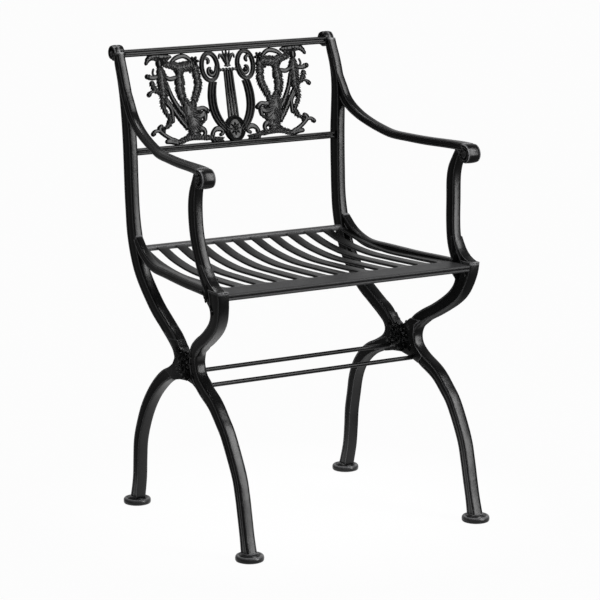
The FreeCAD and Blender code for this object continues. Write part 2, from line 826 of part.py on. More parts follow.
def lyre_strings(lyre_body, medallion):
    """The strings between the crossbar and the medallion."""
    strings = []
    for number in range(STRING_COUNT):
        u = (number - (STRING_COUNT - 1) / 2) * STRING_PITCH
        face = Part.makePlane(STRING_WIDTH, CROSSBAR_V - MEDALLION_V,
                              vec(u - STRING_WIDTH / 2, MEDALLION_V, 0))
        string = plate([face], STRING_THICK)
        strings.append(string.cut([lyre_body, medallion]))
    return Part.makeCompound(strings)


def winged_figure():
    """The draped figure with a plumed head at the outer end of the panel."""
    return [
        stroke([(169, 148, 5), (161, 158, 9), (148, 163, 11), (134, 162, 11), (114, 159, 5)]),
        oval(140, 150, 9, 9),
        stroke([(141, 143, 11), (139, 128, 16), (139, 110, 16), (141, 83, 10)]),
        stroke([(143, 125, 7), (157, 124, 6), (168, 127, 9)]),
        stroke([(161, 119, 8), (157, 107, 8), (143, 94, 7)]),
        stroke([(150, 99, 4), (161, 100, 5), (169, 93, 8)]),
        stroke([(141, 86, 10), (142, 72, 7), (132, 50, 7), (135, 38, 6), (146, 31, 4)]),
        stroke([(137, 80, 6), (127, 66, 7), (126, 40, 6)]),
    ]


def feather_and_garland():
    """The wing, the beaded loop and the arc that joins them at the top."""
    return [
        stroke([(133, 117, 5), (125, 93, 7), (113, 69, 8), (97, 46, 9)]),
        stroke([(139, 86, 6), (124, 66, 8), (112, 48, 8), (96, 26, 9)]),
        stroke([(119, 147, 5), (106, 157, 6), (91, 160, 7), (80, 155, 6), (73, 146, 5)]),
        stroke([(134, 147, 8), (110, 141, 13), (92, 140, 16), (72, 143, 14)]),
        stroke([(101, 138, 12), (103, 115, 16), (100, 84, 14), (89, 64, 18)]),
        oval(68, 148, 10, 10),
        stroke([(69, 143, 13), (66, 110, 12), (73, 88, 11), (82, 62, 9)]),
        stroke([(137, 126, 6), (123, 120, 6), (106, 122, 6)]),
    ]


def calyx_and_base():
    """The leafy calyx, its buds and the scrolls along the foot of the panel."""
    return [
        stroke([(97, 74, 14), (90, 57, 27), (84, 41, 27), (84, 10, 12)]),
        stroke([(80, 62, 7), (63, 64, 6), (52, 56, 9)]),
        stroke([(78, 48, 9), (62, 52, 10), (60, 38, 5)]),
        stroke([(148, 39, 6), (156, 31, 8), (149, 21, 6), (121, 3, 11)]),
        stroke([(152, 26, 5), (163, 29, 5), (171, 21, 8)]),
        stroke([(148, 6, 6), (132, 8, 10), (118, 3, 10)]),
        stroke([(121, 3, 9), (97, 12, 9), (76, 9, 7), (46, 8, 9)]),
        stroke([(50, 10, 8), (45, 19, 7), (36, 24, 8), (27, 16, 6)]),
        stroke([(53, 5, 11), (28, 2, 9)]),
        stroke([(78, 27, 8), (65, 24, 7), (68, 11, 6)]),
    ]


def back_ornament(neighbours):
    """The right-hand half of the openwork beside the lyre."""
    faces = winged_figure() + feather_and_garland() + calyx_and_base()
    return plate(faces, PANEL_THICK).cut(neighbours)


# Whole chair

def export(name, shape, shift):
    """Write one piece, with the origin moved under the middle of the chair."""
    shape.translate(shift)
    shape.exportStep(f"parts/{name}.step")


def main():
    """Build every piece and write one file for each."""
    os.makedirs("parts", exist_ok=True)
    right = side_frame()
    left = mirrored(right)
    frames = [right, left]
    crest = straight_rail(CREST, CREST_DEPTH, CREST_HEIGHT, CREST_REEDS, frames)
    low_rail = straight_rail(LOW_RAIL, LOW_RAIL_DEPTH, LOW_RAIL_HEIGHT, LOW_RAIL_REEDS, frames)
    rails = [crest, low_rail]
    medallion = lyre_medallion(rails)
    lyre_body = lyre(rails, medallion)
    ornament = back_ornament(rails + [lyre_body, medallion])
    band = seat_band(frames)
    pieces = {
        "side_frame_right": right,
        "side_frame_left": left,
        "crest_rail": crest,
        "back_lower_rail": low_rail,
        "lyre": lyre_body,
        "lyre_medallion": medallion,
        "lyre_strings": lyre_strings(lyre_body, medallion),
        "back_ornament_right": ornament,
        "back_ornament_left": mirrored(ornament),
        "seat_front_rail": seat_front_rail(frames),
        "seat_rear_rail": seat_rear_rail(frames),
        "seat_band_right": band,
        "seat_band_left": mirrored(band),
        "tie_rod_upper": tie_rod(frames, UPPER_ROD_BACK, UPPER_ROD_DROP),
        "tie_rod_lower": tie_rod(frames, -LOWER_ROD_FRONT, LOWER_ROD_DROP),
    }
    for number in range(SLAT_COUNT):
        pieces[f"seat_slat_{number + 1:02d}"] = seat_slat(number)
    front = FRONT_FOOT_Y - PAD_RADIUS
    rear = SCROLL_Y + SCROLL_RADIUS
    shift = vec(0, -(front + rear) / 2, 0)
    for name, shape in pieces.items():
        export(name, shape, shift)


main()
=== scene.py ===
"""Looks of a neoclassical cast iron garden armchair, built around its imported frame.

Lengths are written in millimetres in the chair's drawing coordinates: x runs across the chair,
y is 0 at the front block and grows to the rear, z is 0 on the floor. The function place() turns
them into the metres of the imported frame.
"""

import logging
import math
from dataclasses import dataclass
from enum import Enum
from functools import lru_cache
from typing import Callable, Sequence

import bmesh
import bpy
from mathutils import Matrix, Vector


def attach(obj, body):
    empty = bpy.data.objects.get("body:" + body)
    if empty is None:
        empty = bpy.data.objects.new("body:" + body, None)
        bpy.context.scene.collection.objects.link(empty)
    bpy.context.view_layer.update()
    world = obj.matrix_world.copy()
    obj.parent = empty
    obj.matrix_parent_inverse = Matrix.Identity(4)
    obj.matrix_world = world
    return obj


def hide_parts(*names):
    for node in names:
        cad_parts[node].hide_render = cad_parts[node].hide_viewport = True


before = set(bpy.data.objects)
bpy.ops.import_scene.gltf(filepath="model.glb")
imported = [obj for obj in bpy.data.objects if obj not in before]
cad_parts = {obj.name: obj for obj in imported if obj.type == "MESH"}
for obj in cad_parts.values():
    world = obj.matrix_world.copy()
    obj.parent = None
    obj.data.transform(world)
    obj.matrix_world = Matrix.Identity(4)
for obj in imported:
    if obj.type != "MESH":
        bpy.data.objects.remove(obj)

LOG = logging.getLogger("garden_armchair")
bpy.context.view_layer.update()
MM = 0.001
REAR_SHIFT = -195.5
ROOT = "root"
OUTWARD = Vector((1.0, 0.0, 0.0))

# Edge wear and painted highlight on sharp edges: they get a lighter colour, partly as worn paint and partly
# as a painted highlight that stands in for the bright rim lines light makes on them. The attribute that holds
# it, the angles at which it starts and is full, and the smallest flat that gets a border to hold it. Angles
# are in radians, lengths in metres.
EDGE_WEAR_AND_HIGHLIGHT = "edge_wear_and_highlight"
WEAR_AND_HIGHLIGHT_ANGLE = 0.42
WEAR_AND_HIGHLIGHT_RANGE = 0.40
FLAT_EDGE = 0.0009
FLAT_AREA = 0.00002
BORDER = 0.0007

WHITE = (1.0, 1.0, 1.0, 1.0)
CRISP = math.radians(38.0)
MERGE = 0.00002


def place(x: float, y: float, z: float) -> Vector:
    """Turn drawing millimetres into the frame's metres."""
    return Vector((x * MM, (y + REAR_SHIFT) * MM, z * MM))


def mix(a: float, b: float, share: float) -> float:
    """Blend two numbers."""
    return a + (b - a) * share


def baked(mesh: bmesh.types.BMesh, name: str) -> bpy.types.Mesh:
    """Turn a bmesh into mesh data and free it."""
    data = bpy.data.meshes.new(name)
    mesh.to_mesh(data)
    mesh.free()
    return data


def shown(name: str, data: bpy.types.ID) -> bpy.types.Object:
    """Put a new object with the given data in the scene."""
    made = bpy.data.objects.new(name, data)
    bpy.context.scene.collection.objects.link(made)
    return made


# Shader nodes


class Tree:
    """Adds nodes to one material or world."""

    def __init__(self, owner: bpy.types.ID) -> None:
        """Start with an empty node tree.

        Args:
            owner: The material or world that owns the tree.
        """
        owner.use_nodes = True
        self.tree = owner.node_tree
        self.tree.nodes.clear()

    def node(self, kind: str, settings: dict | None = None, **sockets: object) -> bpy.types.Node:
        """Add a node, its settings first and then its sockets.

        Args:
            kind: Blender's node type.
            settings: Attributes such as operation or data_type.
            sockets: Input names, with spaces as underscores, and their values or links.

        Returns:
            The new node.
        """
        made = self.tree.nodes.new(kind)
        for name, value in (settings or {}).items():
            if name == "stops":
                self._stops(made, value)
            else:
                setattr(made, name, value)
        for name, value in sockets.items():
            self.link(made, name.replace("_", " "), value)
        return made

    @staticmethod
    def _stops(made: bpy.types.Node, stops: Sequence[tuple[float, float]]) -> None:
        """Set a grey ramp's stops, given as position and level."""
        ramp = made.color_ramp
        while len(ramp.elements) < len(stops):
            ramp.elements.new(0.5)
        for element, (position, level) in zip(ramp.elements, stops):
            element.position = position
            element.color = (level, level, level, 1.0)

    def link(self, made: bpy.types.Node, name: str | int, value: object) -> None:
        """Give one input a number, a colour or a link.

        Args:
            made: The node.
            name: The input's name, or its index.
            value: A Socket, a Blender socket, a number or a sequence.
        """
        if isinstance(name, str) and name.startswith("in") and name[2:].isdigit():
            name = int(name[2:])
        target = made.inputs[name]
        if isinstance(value, Socket):
            value = value.socket
        if isinstance(value, bpy.types.NodeSocket):
            self.tree.links.new(value, target)
        else:
            target.default_value = value

    def value(self, kind: str, output: str | int, settings: dict | None = None,
              **sockets: object) -> "Socket":
        """Add a node and wrap one of its outputs."""
        return Socket(self, self.node(kind, settings, **sockets).outputs[output])

    def blend(self, share: "Socket", low: object, high: object) -> bpy.types.NodeSocket:
        """Mix two colours, each a link or four levels, by a share."""
        return self.node("ShaderNodeMix", {"data_type": "RGBA"}, Factor=share, in6=low, in7=high).outputs[2]


class Socket:
    """A number socket on which Python's operators add Math nodes."""

    def __init__(self, tree: Tree, socket: bpy.types.NodeSocket) -> None:
        """Wrap a socket of a tree."""
        self.tree = tree
        self.socket = socket

    def _math(self, operation: str, *values: object) -> "Socket":
        """Add one Math node."""
        settings = {"operation": operation}
        sockets = {f"in{index}": value for index, value in enumerate(values)}
        return self.tree.value("ShaderNodeMath", "Value", settings, **sockets)

    def __add__(self, other: object) -> "Socket":
        """Sum."""
        return self._math("ADD", self, other)

    def __radd__(self, other: object) -> "Socket":
        """Sum, reflected."""
        return self._math("ADD", other, self)

    def __sub__(self, other: object) -> "Socket":
        """Difference."""
        return self._math("SUBTRACT", self, other)

    def __rsub__(self, other: object) -> "Socket":
        """Difference, reflected."""
        return self._math("SUBTRACT", other, self)

    def __mul__(self, other: object) -> "Socket":
        """Product."""
        return self._math("MULTIPLY", self, other)

    def __rmul__(self, other: object) -> "Socket":
        """Product, reflected."""
        return self._math("MULTIPLY", other, self)

    def clamp(self, low: float, high: float) -> "Socket":
        """Keep the value between two limits."""
        return self._math("MINIMUM", self._math("MAXIMUM", self, low), high)

    def highest(self, other: object) -> "Socket":
        """The larger of two values."""
        return self._math("MAXIMUM", self, other)


# Finishes


@dataclass(frozen=True)
class PaintedIron:
    """Satin black paint over rough sand-cast iron, dusty in patches, with sharp edges lightened partly as
    wear and partly as a painted highlight.

    Colours are linear, with alpha. The sizes of sand, waves, dust and brush strokes are in metres,
    as are the depths of sand, waves and strokes.
    """

    dark: tuple[float, ...] = (0.0022, 0.0022, 0.0024, 1.0)
    dusty: tuple[float, ...] = (0.0055, 0.0055, 0.0057, 1.0)
    # The edge colour below is partly bare iron and partly a painted highlight standing in for rim lines of
    # light; the share after it scales it.
    bare_and_highlight: tuple[float, ...] = (0.20, 0.20, 0.205, 1.0)
    wear_and_highlight: float = 1.0
    smooth: float = 0.20
    rough: float = 0.33
    sand: float = 0.0011
    waves: float = 0.013
    dust: float = 0.045
    stroke: float = 0.010
    stroke_turn: float = math.radians(28.0)
    stroke_stretch: float = 9.0
    sand_depth: float = 0.00010
    wave_depth: float = 0.00032
    brushed: float = 0.0
    specular: float = 0.32
    pitting: tuple[tuple[float, float], ...] = ((0.30, 0.0), (0.62, 1.0))

    def material(self, name: str) -> bpy.types.Material:
        """Build the material.

        Args:
            name: The material's name.

        Returns:
            The new material.
        """
        made = bpy.data.materials.new(name)
        tree = Tree(made)
        where = tree.node("ShaderNodeTexCoord").outputs["Object"]
        grain = self._noise(tree, where, self.sand, 3.0)
        waves = self._noise(tree, where, self.waves, 2.0)
        dust = (self._noise(tree, where, self.dust, 4.0) * 1.6 - 0.35).clamp(0.0, 1.0)
        pits = tree.value("ShaderNodeValToRGB", "Color", {"stops": self.pitting}, Fac=grain)
        paint = tree.blend((dust * (0.6 + 0.4 * pits)).clamp(0.0, 1.0), self.dark, self.dusty)
        # Sharp edges take a lighter colour: partly worn paint, partly a painted highlight in place of the rim
        # lines that light makes.
        edge = tree.value("ShaderNodeAttribute", "Fac", {"attribute_name": EDGE_WEAR_AND_HIGHLIGHT})
        worn_and_highlight = (edge * (0.45 + 0.75 * pits) * self.wear_and_highlight).clamp(0.0, 1.0)
        colour = tree.blend(worn_and_highlight, paint, self.bare_and_highlight)
        sheen = self.smooth + (self.rough - self.smooth) * (0.55 * waves + 0.45 * dust)
        sheen = (sheen - 0.05 * worn_and_highlight).clamp(0.05, 0.9)
        height = grain * self.sand_depth + waves * self.wave_depth
        if self.brushed:
            turned = tree.node("ShaderNodeMapping", {}, Vector=where, Rotation=(0.0, 0.0, self.stroke_turn),
                               Scale=(1.0, self.stroke_stretch, 1.0))
            strokes = self._noise(tree, turned.outputs["Vector"], self.stroke, 3.0)
            height = height + strokes * self.brushed
            sheen = (sheen + 0.16 * (strokes - 0.5)).clamp(0.05, 0.9)
        bump = tree.node("ShaderNodeBump", {}, Strength=1.0, Distance=1.0, Height=height)
        shader = tree.node("ShaderNodeBsdfPrincipled", {}, Base_Color=colour, Roughness=sheen,
                           Specular_IOR_Level=self.specular, Normal=bump.outputs["Normal"])
        tree.node("ShaderNodeOutputMaterial", {}, Surface=shader.outputs["BSDF"])
        return made

    @staticmethod
    def _noise(tree: Tree, where: bpy.types.NodeSocket, size: float, detail: float) -> Socket:
        """Noise whose lumps are about one size across."""
        return tree.value("ShaderNodeTexNoise", "Fac", {}, Vector=where, Scale=1.0 / size, Detail=detail,
                          Roughness=0.55)


class Finish(Enum):
    """The finishes of the chair, one for each kind of casting."""

    # Each finish's wear share sets how much its sharp edges are lightened, as wear and as a painted
    # highlight.
    FRAME = PaintedIron()
    SEAT = PaintedIron(sand_depth=0.00007, wave_depth=0.00016, brushed=0.00012, smooth=0.26, rough=0.38,
                       wear_and_highlight=0.35, specular=0.20)
    PLATE = PaintedIron(sand_depth=0.00007, wave_depth=0.00012, brushed=0.00008, smooth=0.34, rough=0.50,
                        wear_and_highlight=0.15, specular=0.14)
    CARVING = PaintedIron(sand_depth=0.00004, wave_depth=0.0, smooth=0.12, rough=0.22, wear_and_highlight=0.05,
                          specular=0.21)
    RAIL = PaintedIron(sand_depth=0.00004, wave_depth=0.00008, smooth=0.09, rough=0.16, wear_and_highlight=0.02,
                       specular=0.12)
    ROD = PaintedIron(sand_depth=0.00004, wave_depth=0.00006, smooth=0.12, rough=0.20, wear_and_highlight=0.1,
                      specular=0.12)

    def dress(self, piece: bpy.types.Object) -> None:
        """Give a piece this finish."""
        name = f"painted_iron_{self.name.lower()}"
        made = bpy.data.materials.get(name) or self.value.material(name)
        piece.data.materials.clear()
        piece.data.materials.append(made)


class Slot(Enum):
    """The record's material slots."""

    SIDE_FRAME = "side_frame"
    BACK = "back"
    SEAT = "seat"
    TIE_ROD = "tie_rod"


# Mesh tools


class Casting:
    """A mesh that grows by sweeps, turnings and lumps, and becomes one piece."""

    def __init__(self, name: str) -> None:
        """Start an empty mesh for a piece."""
        self.name = name
        self.mesh = bmesh.new()

    def sweep(self, rings: Sequence[Sequence[Vector]], closed: bool = False) -> None:
        """Extrude an outline from one ring of points to the next.

        Args:
            rings: The outline's points at each stage, all of one count.
            closed: Whether the last ring joins the first.
        """
        count = len(rings[0])
        start = bmesh.ops.create_circle(self.mesh, cap_ends=False, segments=count, radius=1.0)["verts"]
        for vert, point in zip(start, rings[0]):
            vert.co = point
        ring = start
        for points in rings[1:]:
            ring = self._extend(ring, points)
        if closed:
            edges = self._edges(start) + self._edges(ring)
            bmesh.ops.bridge_loops(self.mesh, edges=edges)
            return
        for end in (start, ring):
            bmesh.ops.edgeloop_fill(self.mesh, edges=self._edges(end))

    def _extend(self, ring: list[bmesh.types.BMVert], points: Sequence[Vector]) -> list[bmesh.types.BMVert]:
        """Extrude one ring and move its copy to the given points."""
        made = bmesh.ops.extrude_edge_only(self.mesh, edges=self._edges(ring))["geom"]
        fresh = {item for item in made if isinstance(item, bmesh.types.BMVert)}
        following = []
        for vert, point in zip(ring, points):
            twin = next(edge.other_vert(vert) for edge in vert.link_edges if edge.other_vert(vert) in fresh)
            twin.co = point
            following.append(twin)
        return following

    @staticmethod
    def _edges(ring: Sequence[bmesh.types.BMVert]) -> list[bmesh.types.BMEdge]:
        """The edges that join the neighbours in a ring."""
        inside = set(ring)
        return list({edge for vert in ring for edge in vert.link_edges
                     if edge.verts[0] in inside and edge.verts[1] in inside})

    def turn(self, centre: Vector, axis: Vector, outline: Sequence[tuple[float, float]], steps: int) -> None:
        """Turn an outline about an axis.

        Args:
            centre: A point on the axis, in metres.
            axis: The axis direction.
            outline: Points as millimetres along the axis and out from it.
            steps: Divisions of the full turn.
        """
        along = axis.normalized()
        out = along.orthogonal().normalized()
        chain = [self.mesh.verts.new(centre + along * (a * MM) + out * (r * MM)) for a, r in outline]
        edges = [self.mesh.edges.new(pair) for pair in zip(chain, chain[1:])]
        bmesh.ops.spin(self.mesh, geom=[*chain, *edges], cent=centre, axis=along, dvec=(0, 0, 0),
                       angle=math.tau, steps=steps, use_merge=True, use_duplicate=False)

    def lump(self, basis: Matrix, size: Vector, shape: Callable[[Vector], Vector] | None = None,
             segments: int = 16) -> None:
        """Add an oval lump that a function may carve.

        Args:
            basis: Where the lump lies, with its length along x and its height along z.
            size: Half sizes along x, y and z, in millimetres.
            shape: Moves a point of the unit ball before it is sized.
            segments: Divisions round the ball.
        """
        ball, places = self._ball(segments)
        for vert, unit in zip(ball.vertices, places):
            point = shape(unit.copy()) if shape else unit
            vert.co = basis @ (Vector((point.x * size.x, point.y * size.y, point.z * size.z)) * MM)
        self.mesh.from_mesh(ball)

    @staticmethod
    @lru_cache(maxsize=None)
    def _ball(segments: int) -> tuple[bpy.types.Mesh, list[Vector]]:
        """A ball mesh that every lump of this count shares, and its points on the unit ball."""
        mesh = bmesh.new()
        bmesh.ops.create_uvsphere(mesh, u_segments=segments, v_segments=max(6, segments // 2), radius=1.0)
        data = baked(mesh, f"ball_{segments}")
        return data, [vert.co.copy() for vert in data.vertices]

    def plate(self, outline: Sequence[Vector], thickness: Vector, soften: float = 0.0) -> None:
        """Extrude a flat outline, and soften its edges.

        Args:
            outline: Corner points in order.
            thickness: The way and distance of the extrusion, in metres.
            soften: Bevel width in millimetres, or 0 for none.
        """
        ring = bmesh.ops.create_circle(self.mesh, cap_ends=True, segments=len(outline), radius=1.0)["verts"]
        for vert, point in zip(ring, outline):
            vert.co = point
        face = next(iter(set(ring[0].link_faces)))
        made = bmesh.ops.extrude_face_region(self.mesh, geom=[face], use_keep_orig=True)["geom"]
        tops = [item for item in made if isinstance(item, bmesh.types.BMVert)]
        bmesh.ops.translate(self.mesh, verts=tops, vec=thickness)
        if soften:
            inside = set(ring) | set(tops)
            edges = list({edge for vert in inside for edge in vert.link_edges})
            bmesh.ops.bevel(self.mesh, geom=edges, offset=soften * MM, offset_type="OFFSET", segments=2,
                            profile=0.5, affect="EDGES", material=-1, clamp_overlap=True)

    @staticmethod
    def _exposure(vert: bmesh.types.BMVert) -> float:
        """How far an edge stands out, from 0 where it is flat or hollow to 1 where it is sharp."""
        angles = [edge.calc_face_angle_signed(0.0) for edge in vert.link_edges if edge.is_manifold]
        return min(max((max(angles, default=0.0) - WEAR_AND_HIGHLIGHT_ANGLE) / WEAR_AND_HIGHLIGHT_RANGE, 0.0), 1.0)

    @staticmethod
    def _is_flat(face: bmesh.types.BMFace) -> bool:
        """Whether sharp edges surround a face that is large enough for a border."""
        return all(edge.is_manifold and edge.calc_face_angle(0.0) > WEAR_AND_HIGHLIGHT_ANGLE
                   and edge.calc_length() > FLAT_EDGE for edge in face.edges) and face.calc_area() > FLAT_AREA

    def pair(self, finish: Finish, slot: Slot, *nodes: str) -> list[bpy.types.Object]:
        """Finish this right-hand casting and its mirror image, whose names say left.

        Args:
            finish: The finish of both.
            slot: The record's slot.
            nodes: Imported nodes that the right-hand one replaces.

        Returns:
            The right piece and the left one.
        """
        left = Casting(self.name.replace("right", "left"))
        left.mesh.free()
        left.mesh = self.mesh.copy()
        bmesh.ops.scale(left.mesh, verts=left.mesh.verts, vec=(-1.0, 1.0, 1.0))
        others = [node.replace("right", "left") for node in nodes]
        return [self.finish(finish, slot, *nodes), left.finish(finish, slot, *others)]

    def finish(self, finish: Finish, slot: Slot, *nodes: str) -> bpy.types.Object:
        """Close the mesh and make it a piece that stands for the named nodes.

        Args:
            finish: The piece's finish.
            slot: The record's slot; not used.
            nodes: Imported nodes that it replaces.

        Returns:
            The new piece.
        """
        bmesh.ops.remove_doubles(self.mesh, verts=self.mesh.verts, dist=MERGE)
        bmesh.ops.recalc_face_normals(self.mesh, faces=self.mesh.faces)
        for face in self.mesh.faces:
            face.smooth = True
        # Flat faces get a narrow border, so that the edge wear and painted highlight stays a thin line.
        flats = [face for face in self.mesh.faces if self._is_flat(face)]
        bmesh.ops.inset_individual(self.mesh, faces=flats, thickness=BORDER, use_even_offset=True)
        # Store how sharp each vertex is; the material lightens these edges as wear and as a painted
        # highlight.
        edge_wear_and_highlight = self.mesh.verts.layers.float.new(EDGE_WEAR_AND_HIGHLIGHT)
        for vert in self.mesh.verts:
            vert[edge_wear_and_highlight] = self._exposure(vert)
        for edge in self.mesh.edges:
            edge.smooth = not edge.is_manifold or edge.calc_face_angle(0.0) < CRISP
        piece = shown(self.name, baked(self.mesh, self.name))
        finish.dress(piece)
        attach(piece, ROOT)
        if nodes:
            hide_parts(*nodes)
        LOG.info("%s: %d faces", self.name, len(piece.data.polygons))
        return piece


# The side frames' spread and bars


@dataclass(frozen=True)
class Spread:
    """Half the distance between the side frames by height, in front and at the rear."""

    rows: tuple[tuple[float, float, float], ...] = (
        (0.0, 233.0, 224.5), (145.0, 233.0, 224.5), (296.0, 239.5, 204.0), (457.0, 259.0, 215.0),
        (557.5, 275.0, 217.5), (658.0, 275.5, 219.0), (816.0, 273.5, 226.0))
    rear: float = 400.0

    def half(self, y: float, z: float) -> float:
        """Half the distance at a place in side view."""
        index = max(0, min(len(self.rows) - 2, sum(z >= row[0] for row in self.rows) - 1))
        low, high = self.rows[index], self.rows[index + 1]
        share = min(max((z - low[0]) / (high[0] - low[0]), 0.0), 1.0)
        rest = 1 - share
        gap = high[0] - low[0]
        ends = []
        for side in (1, 2):
            start, end = self._slope(index, side), self._slope(index + 1, side)
            ends.append(low[side] * (1 + 2 * share) * rest ** 2 + high[side] * share ** 2 * (3 - 2 * share)
                        + gap * (start * share * rest ** 2 - end * share ** 2 * rest))
        return mix(ends[0], ends[1], y / self.rear)

    def _slope(self, index: int, side: int) -> float:
        """The slope at one row, from its neighbours, and level at both ends."""
        if index in (0, len(self.rows) - 1):
            return 0.0
        before, after = self.rows[index - 1], self.rows[index + 1]
        return (after[side] - before[side]) / (after[0] - before[0])


SPREAD = Spread()


class Line:
    """A smooth line through stations of any number of values."""

    def __init__(self, stations: Sequence[Sequence[float]]) -> None:
        """Keep the stations and extend them at both ends."""
        first = [2 * a - b for a, b in zip(stations[0], stations[1])]
        last = [2 * a - b for a, b in zip(stations[-1], stations[-2])]
        self.rows = [first, *[list(row) for row in stations], last]

    def at(self, span: int, share: float) -> list[float]:
        """The values at a share of one span, by a cubic through four stations."""
        before, start, end, after = self.rows[span:span + 4]
        found = []
        for a, b, c, d in zip(before, start, end, after):
            found.append(0.5 * (2 * b + (c - a) * share + (2 * a - 5 * b + 4 * c - d) * share ** 2
                                + (3 * b - a - 3 * c + d) * share ** 3))
        return found

    def sampled(self, step: float) -> list[list[float]]:
        """Rows along the line, about one step apart in the first two values."""
        rows = []
        for span in range(len(self.rows) - 3):
            start, end = self.rows[span + 1], self.rows[span + 2]
            length = math.hypot(end[0] - start[0], end[1] - start[1])
            count = max(1, round(length / step))
            rows.extend(self.at(span, index / count) for index in range(count))
        rows.append(self.rows[-2])
        return rows


def flanked(rows: Sequence[Sequence[float]]) -> list[tuple[Sequence[float], Vector]]:
    """Find the way to the left along a line of rows.

    Args:
        rows: The line's rows, whose first two values are places in a drawing plane.

    Returns:
        Each row with the unit vector to its left, square to the line between its neighbours.
    """
    made = []
    for index, row in enumerate(rows):
        before, after = rows[max(index - 1, 0)], rows[min(index + 1, len(rows) - 1)]
        along = Vector((after[0] - before[0], after[1] - before[1], 0.0)).normalized()
        made.append((row, Vector((-along.y, along.x, 0.0))))
    return made


class Section(Enum):
    """The cross sections: rimmed for the side frame's bars, rounded for its rolls and the rear rail."""

    RIMMED = "rimmed"
    ROUNDED = "rounded"

    def outline(self, width: float, thick: float) -> list[tuple[float, float]]:
        """Points round the section.

        Args:
            width: Its width in side view, in millimetres.
            thick: Its thickness across the frame.

        Returns:
            Points as (width, thickness) offsets, in order round the section.
        """
        half_w, half_t = width / 2, thick / 2
        if self is Section.ROUNDED:
            quarter = [(half_w, 0.0), (half_w * 0.96, half_t * 0.35), (half_w * 0.84, half_t * 0.66),
                       (half_w * 0.62, half_t * 0.88), (half_w * 0.33, half_t * 0.98), (0.0, half_t)]
        else:
            rim = min(1.0, half_w / 9.0)
            quarter = [(half_w, 0.0), (half_w - 0.15, half_t * 0.50), (half_w - 0.45, half_t - 2.0),
                       (half_w - 1.0, half_t - 0.8), (half_w - 1.8, half_t - 0.1),
                       (half_w - 2.7 * rim, half_t), (half_w - 3.4 * rim, half_t - 0.3),
                       (half_w - 3.9 * rim, half_t - 1.4), (half_w - 5.0 * rim, half_t - 1.7),
                       (half_w * 0.32, half_t - 1.1), (0.0, half_t - 0.9)]
        upper = quarter + [(-w, t) for w, t in reversed(quarter[:-1])]
        return upper + [(w, -t) for w, t in reversed(upper[1:-1])]


@dataclass
class Bar:
    """A rimmed bar of the side frame through stations of y, z, width and thickness."""

    stations: Sequence[tuple[float, float, float, float]]
    step: float = 5.0

    def cast(self, casting: Casting) -> None:
        """Add the bar to a casting of the right-hand frame."""
        rings = []
        for (y, z, width, thick), left in flanked(Line(self.stations).sampled(self.step)):
            centre, across = place(SPREAD.half(y, z), y, z), Vector((0.0, -left.x, -left.y))
            rings.append([centre + across * (w * MM) + OUTWARD * (t * MM)
                          for w, t in Section.RIMMED.outline(width, thick)])
        casting.sweep(rings)


def bar_stations(width: float, thick: float,
                 *rows: tuple[float, ...]) -> list[tuple[float, float, float, float]]:
    """Make a bar's stations from its usual section.

    Args:
        width: The usual width.
        thick: The usual thickness.
        rows: Places as y and z, then what the width adds and, if any, what the thickness adds.

    Returns:
        Stations of y, z, width and thickness.
    """
    return [(y, z, width + wider, thick + sum(thicker)) for y, z, wider, *thicker in rows]


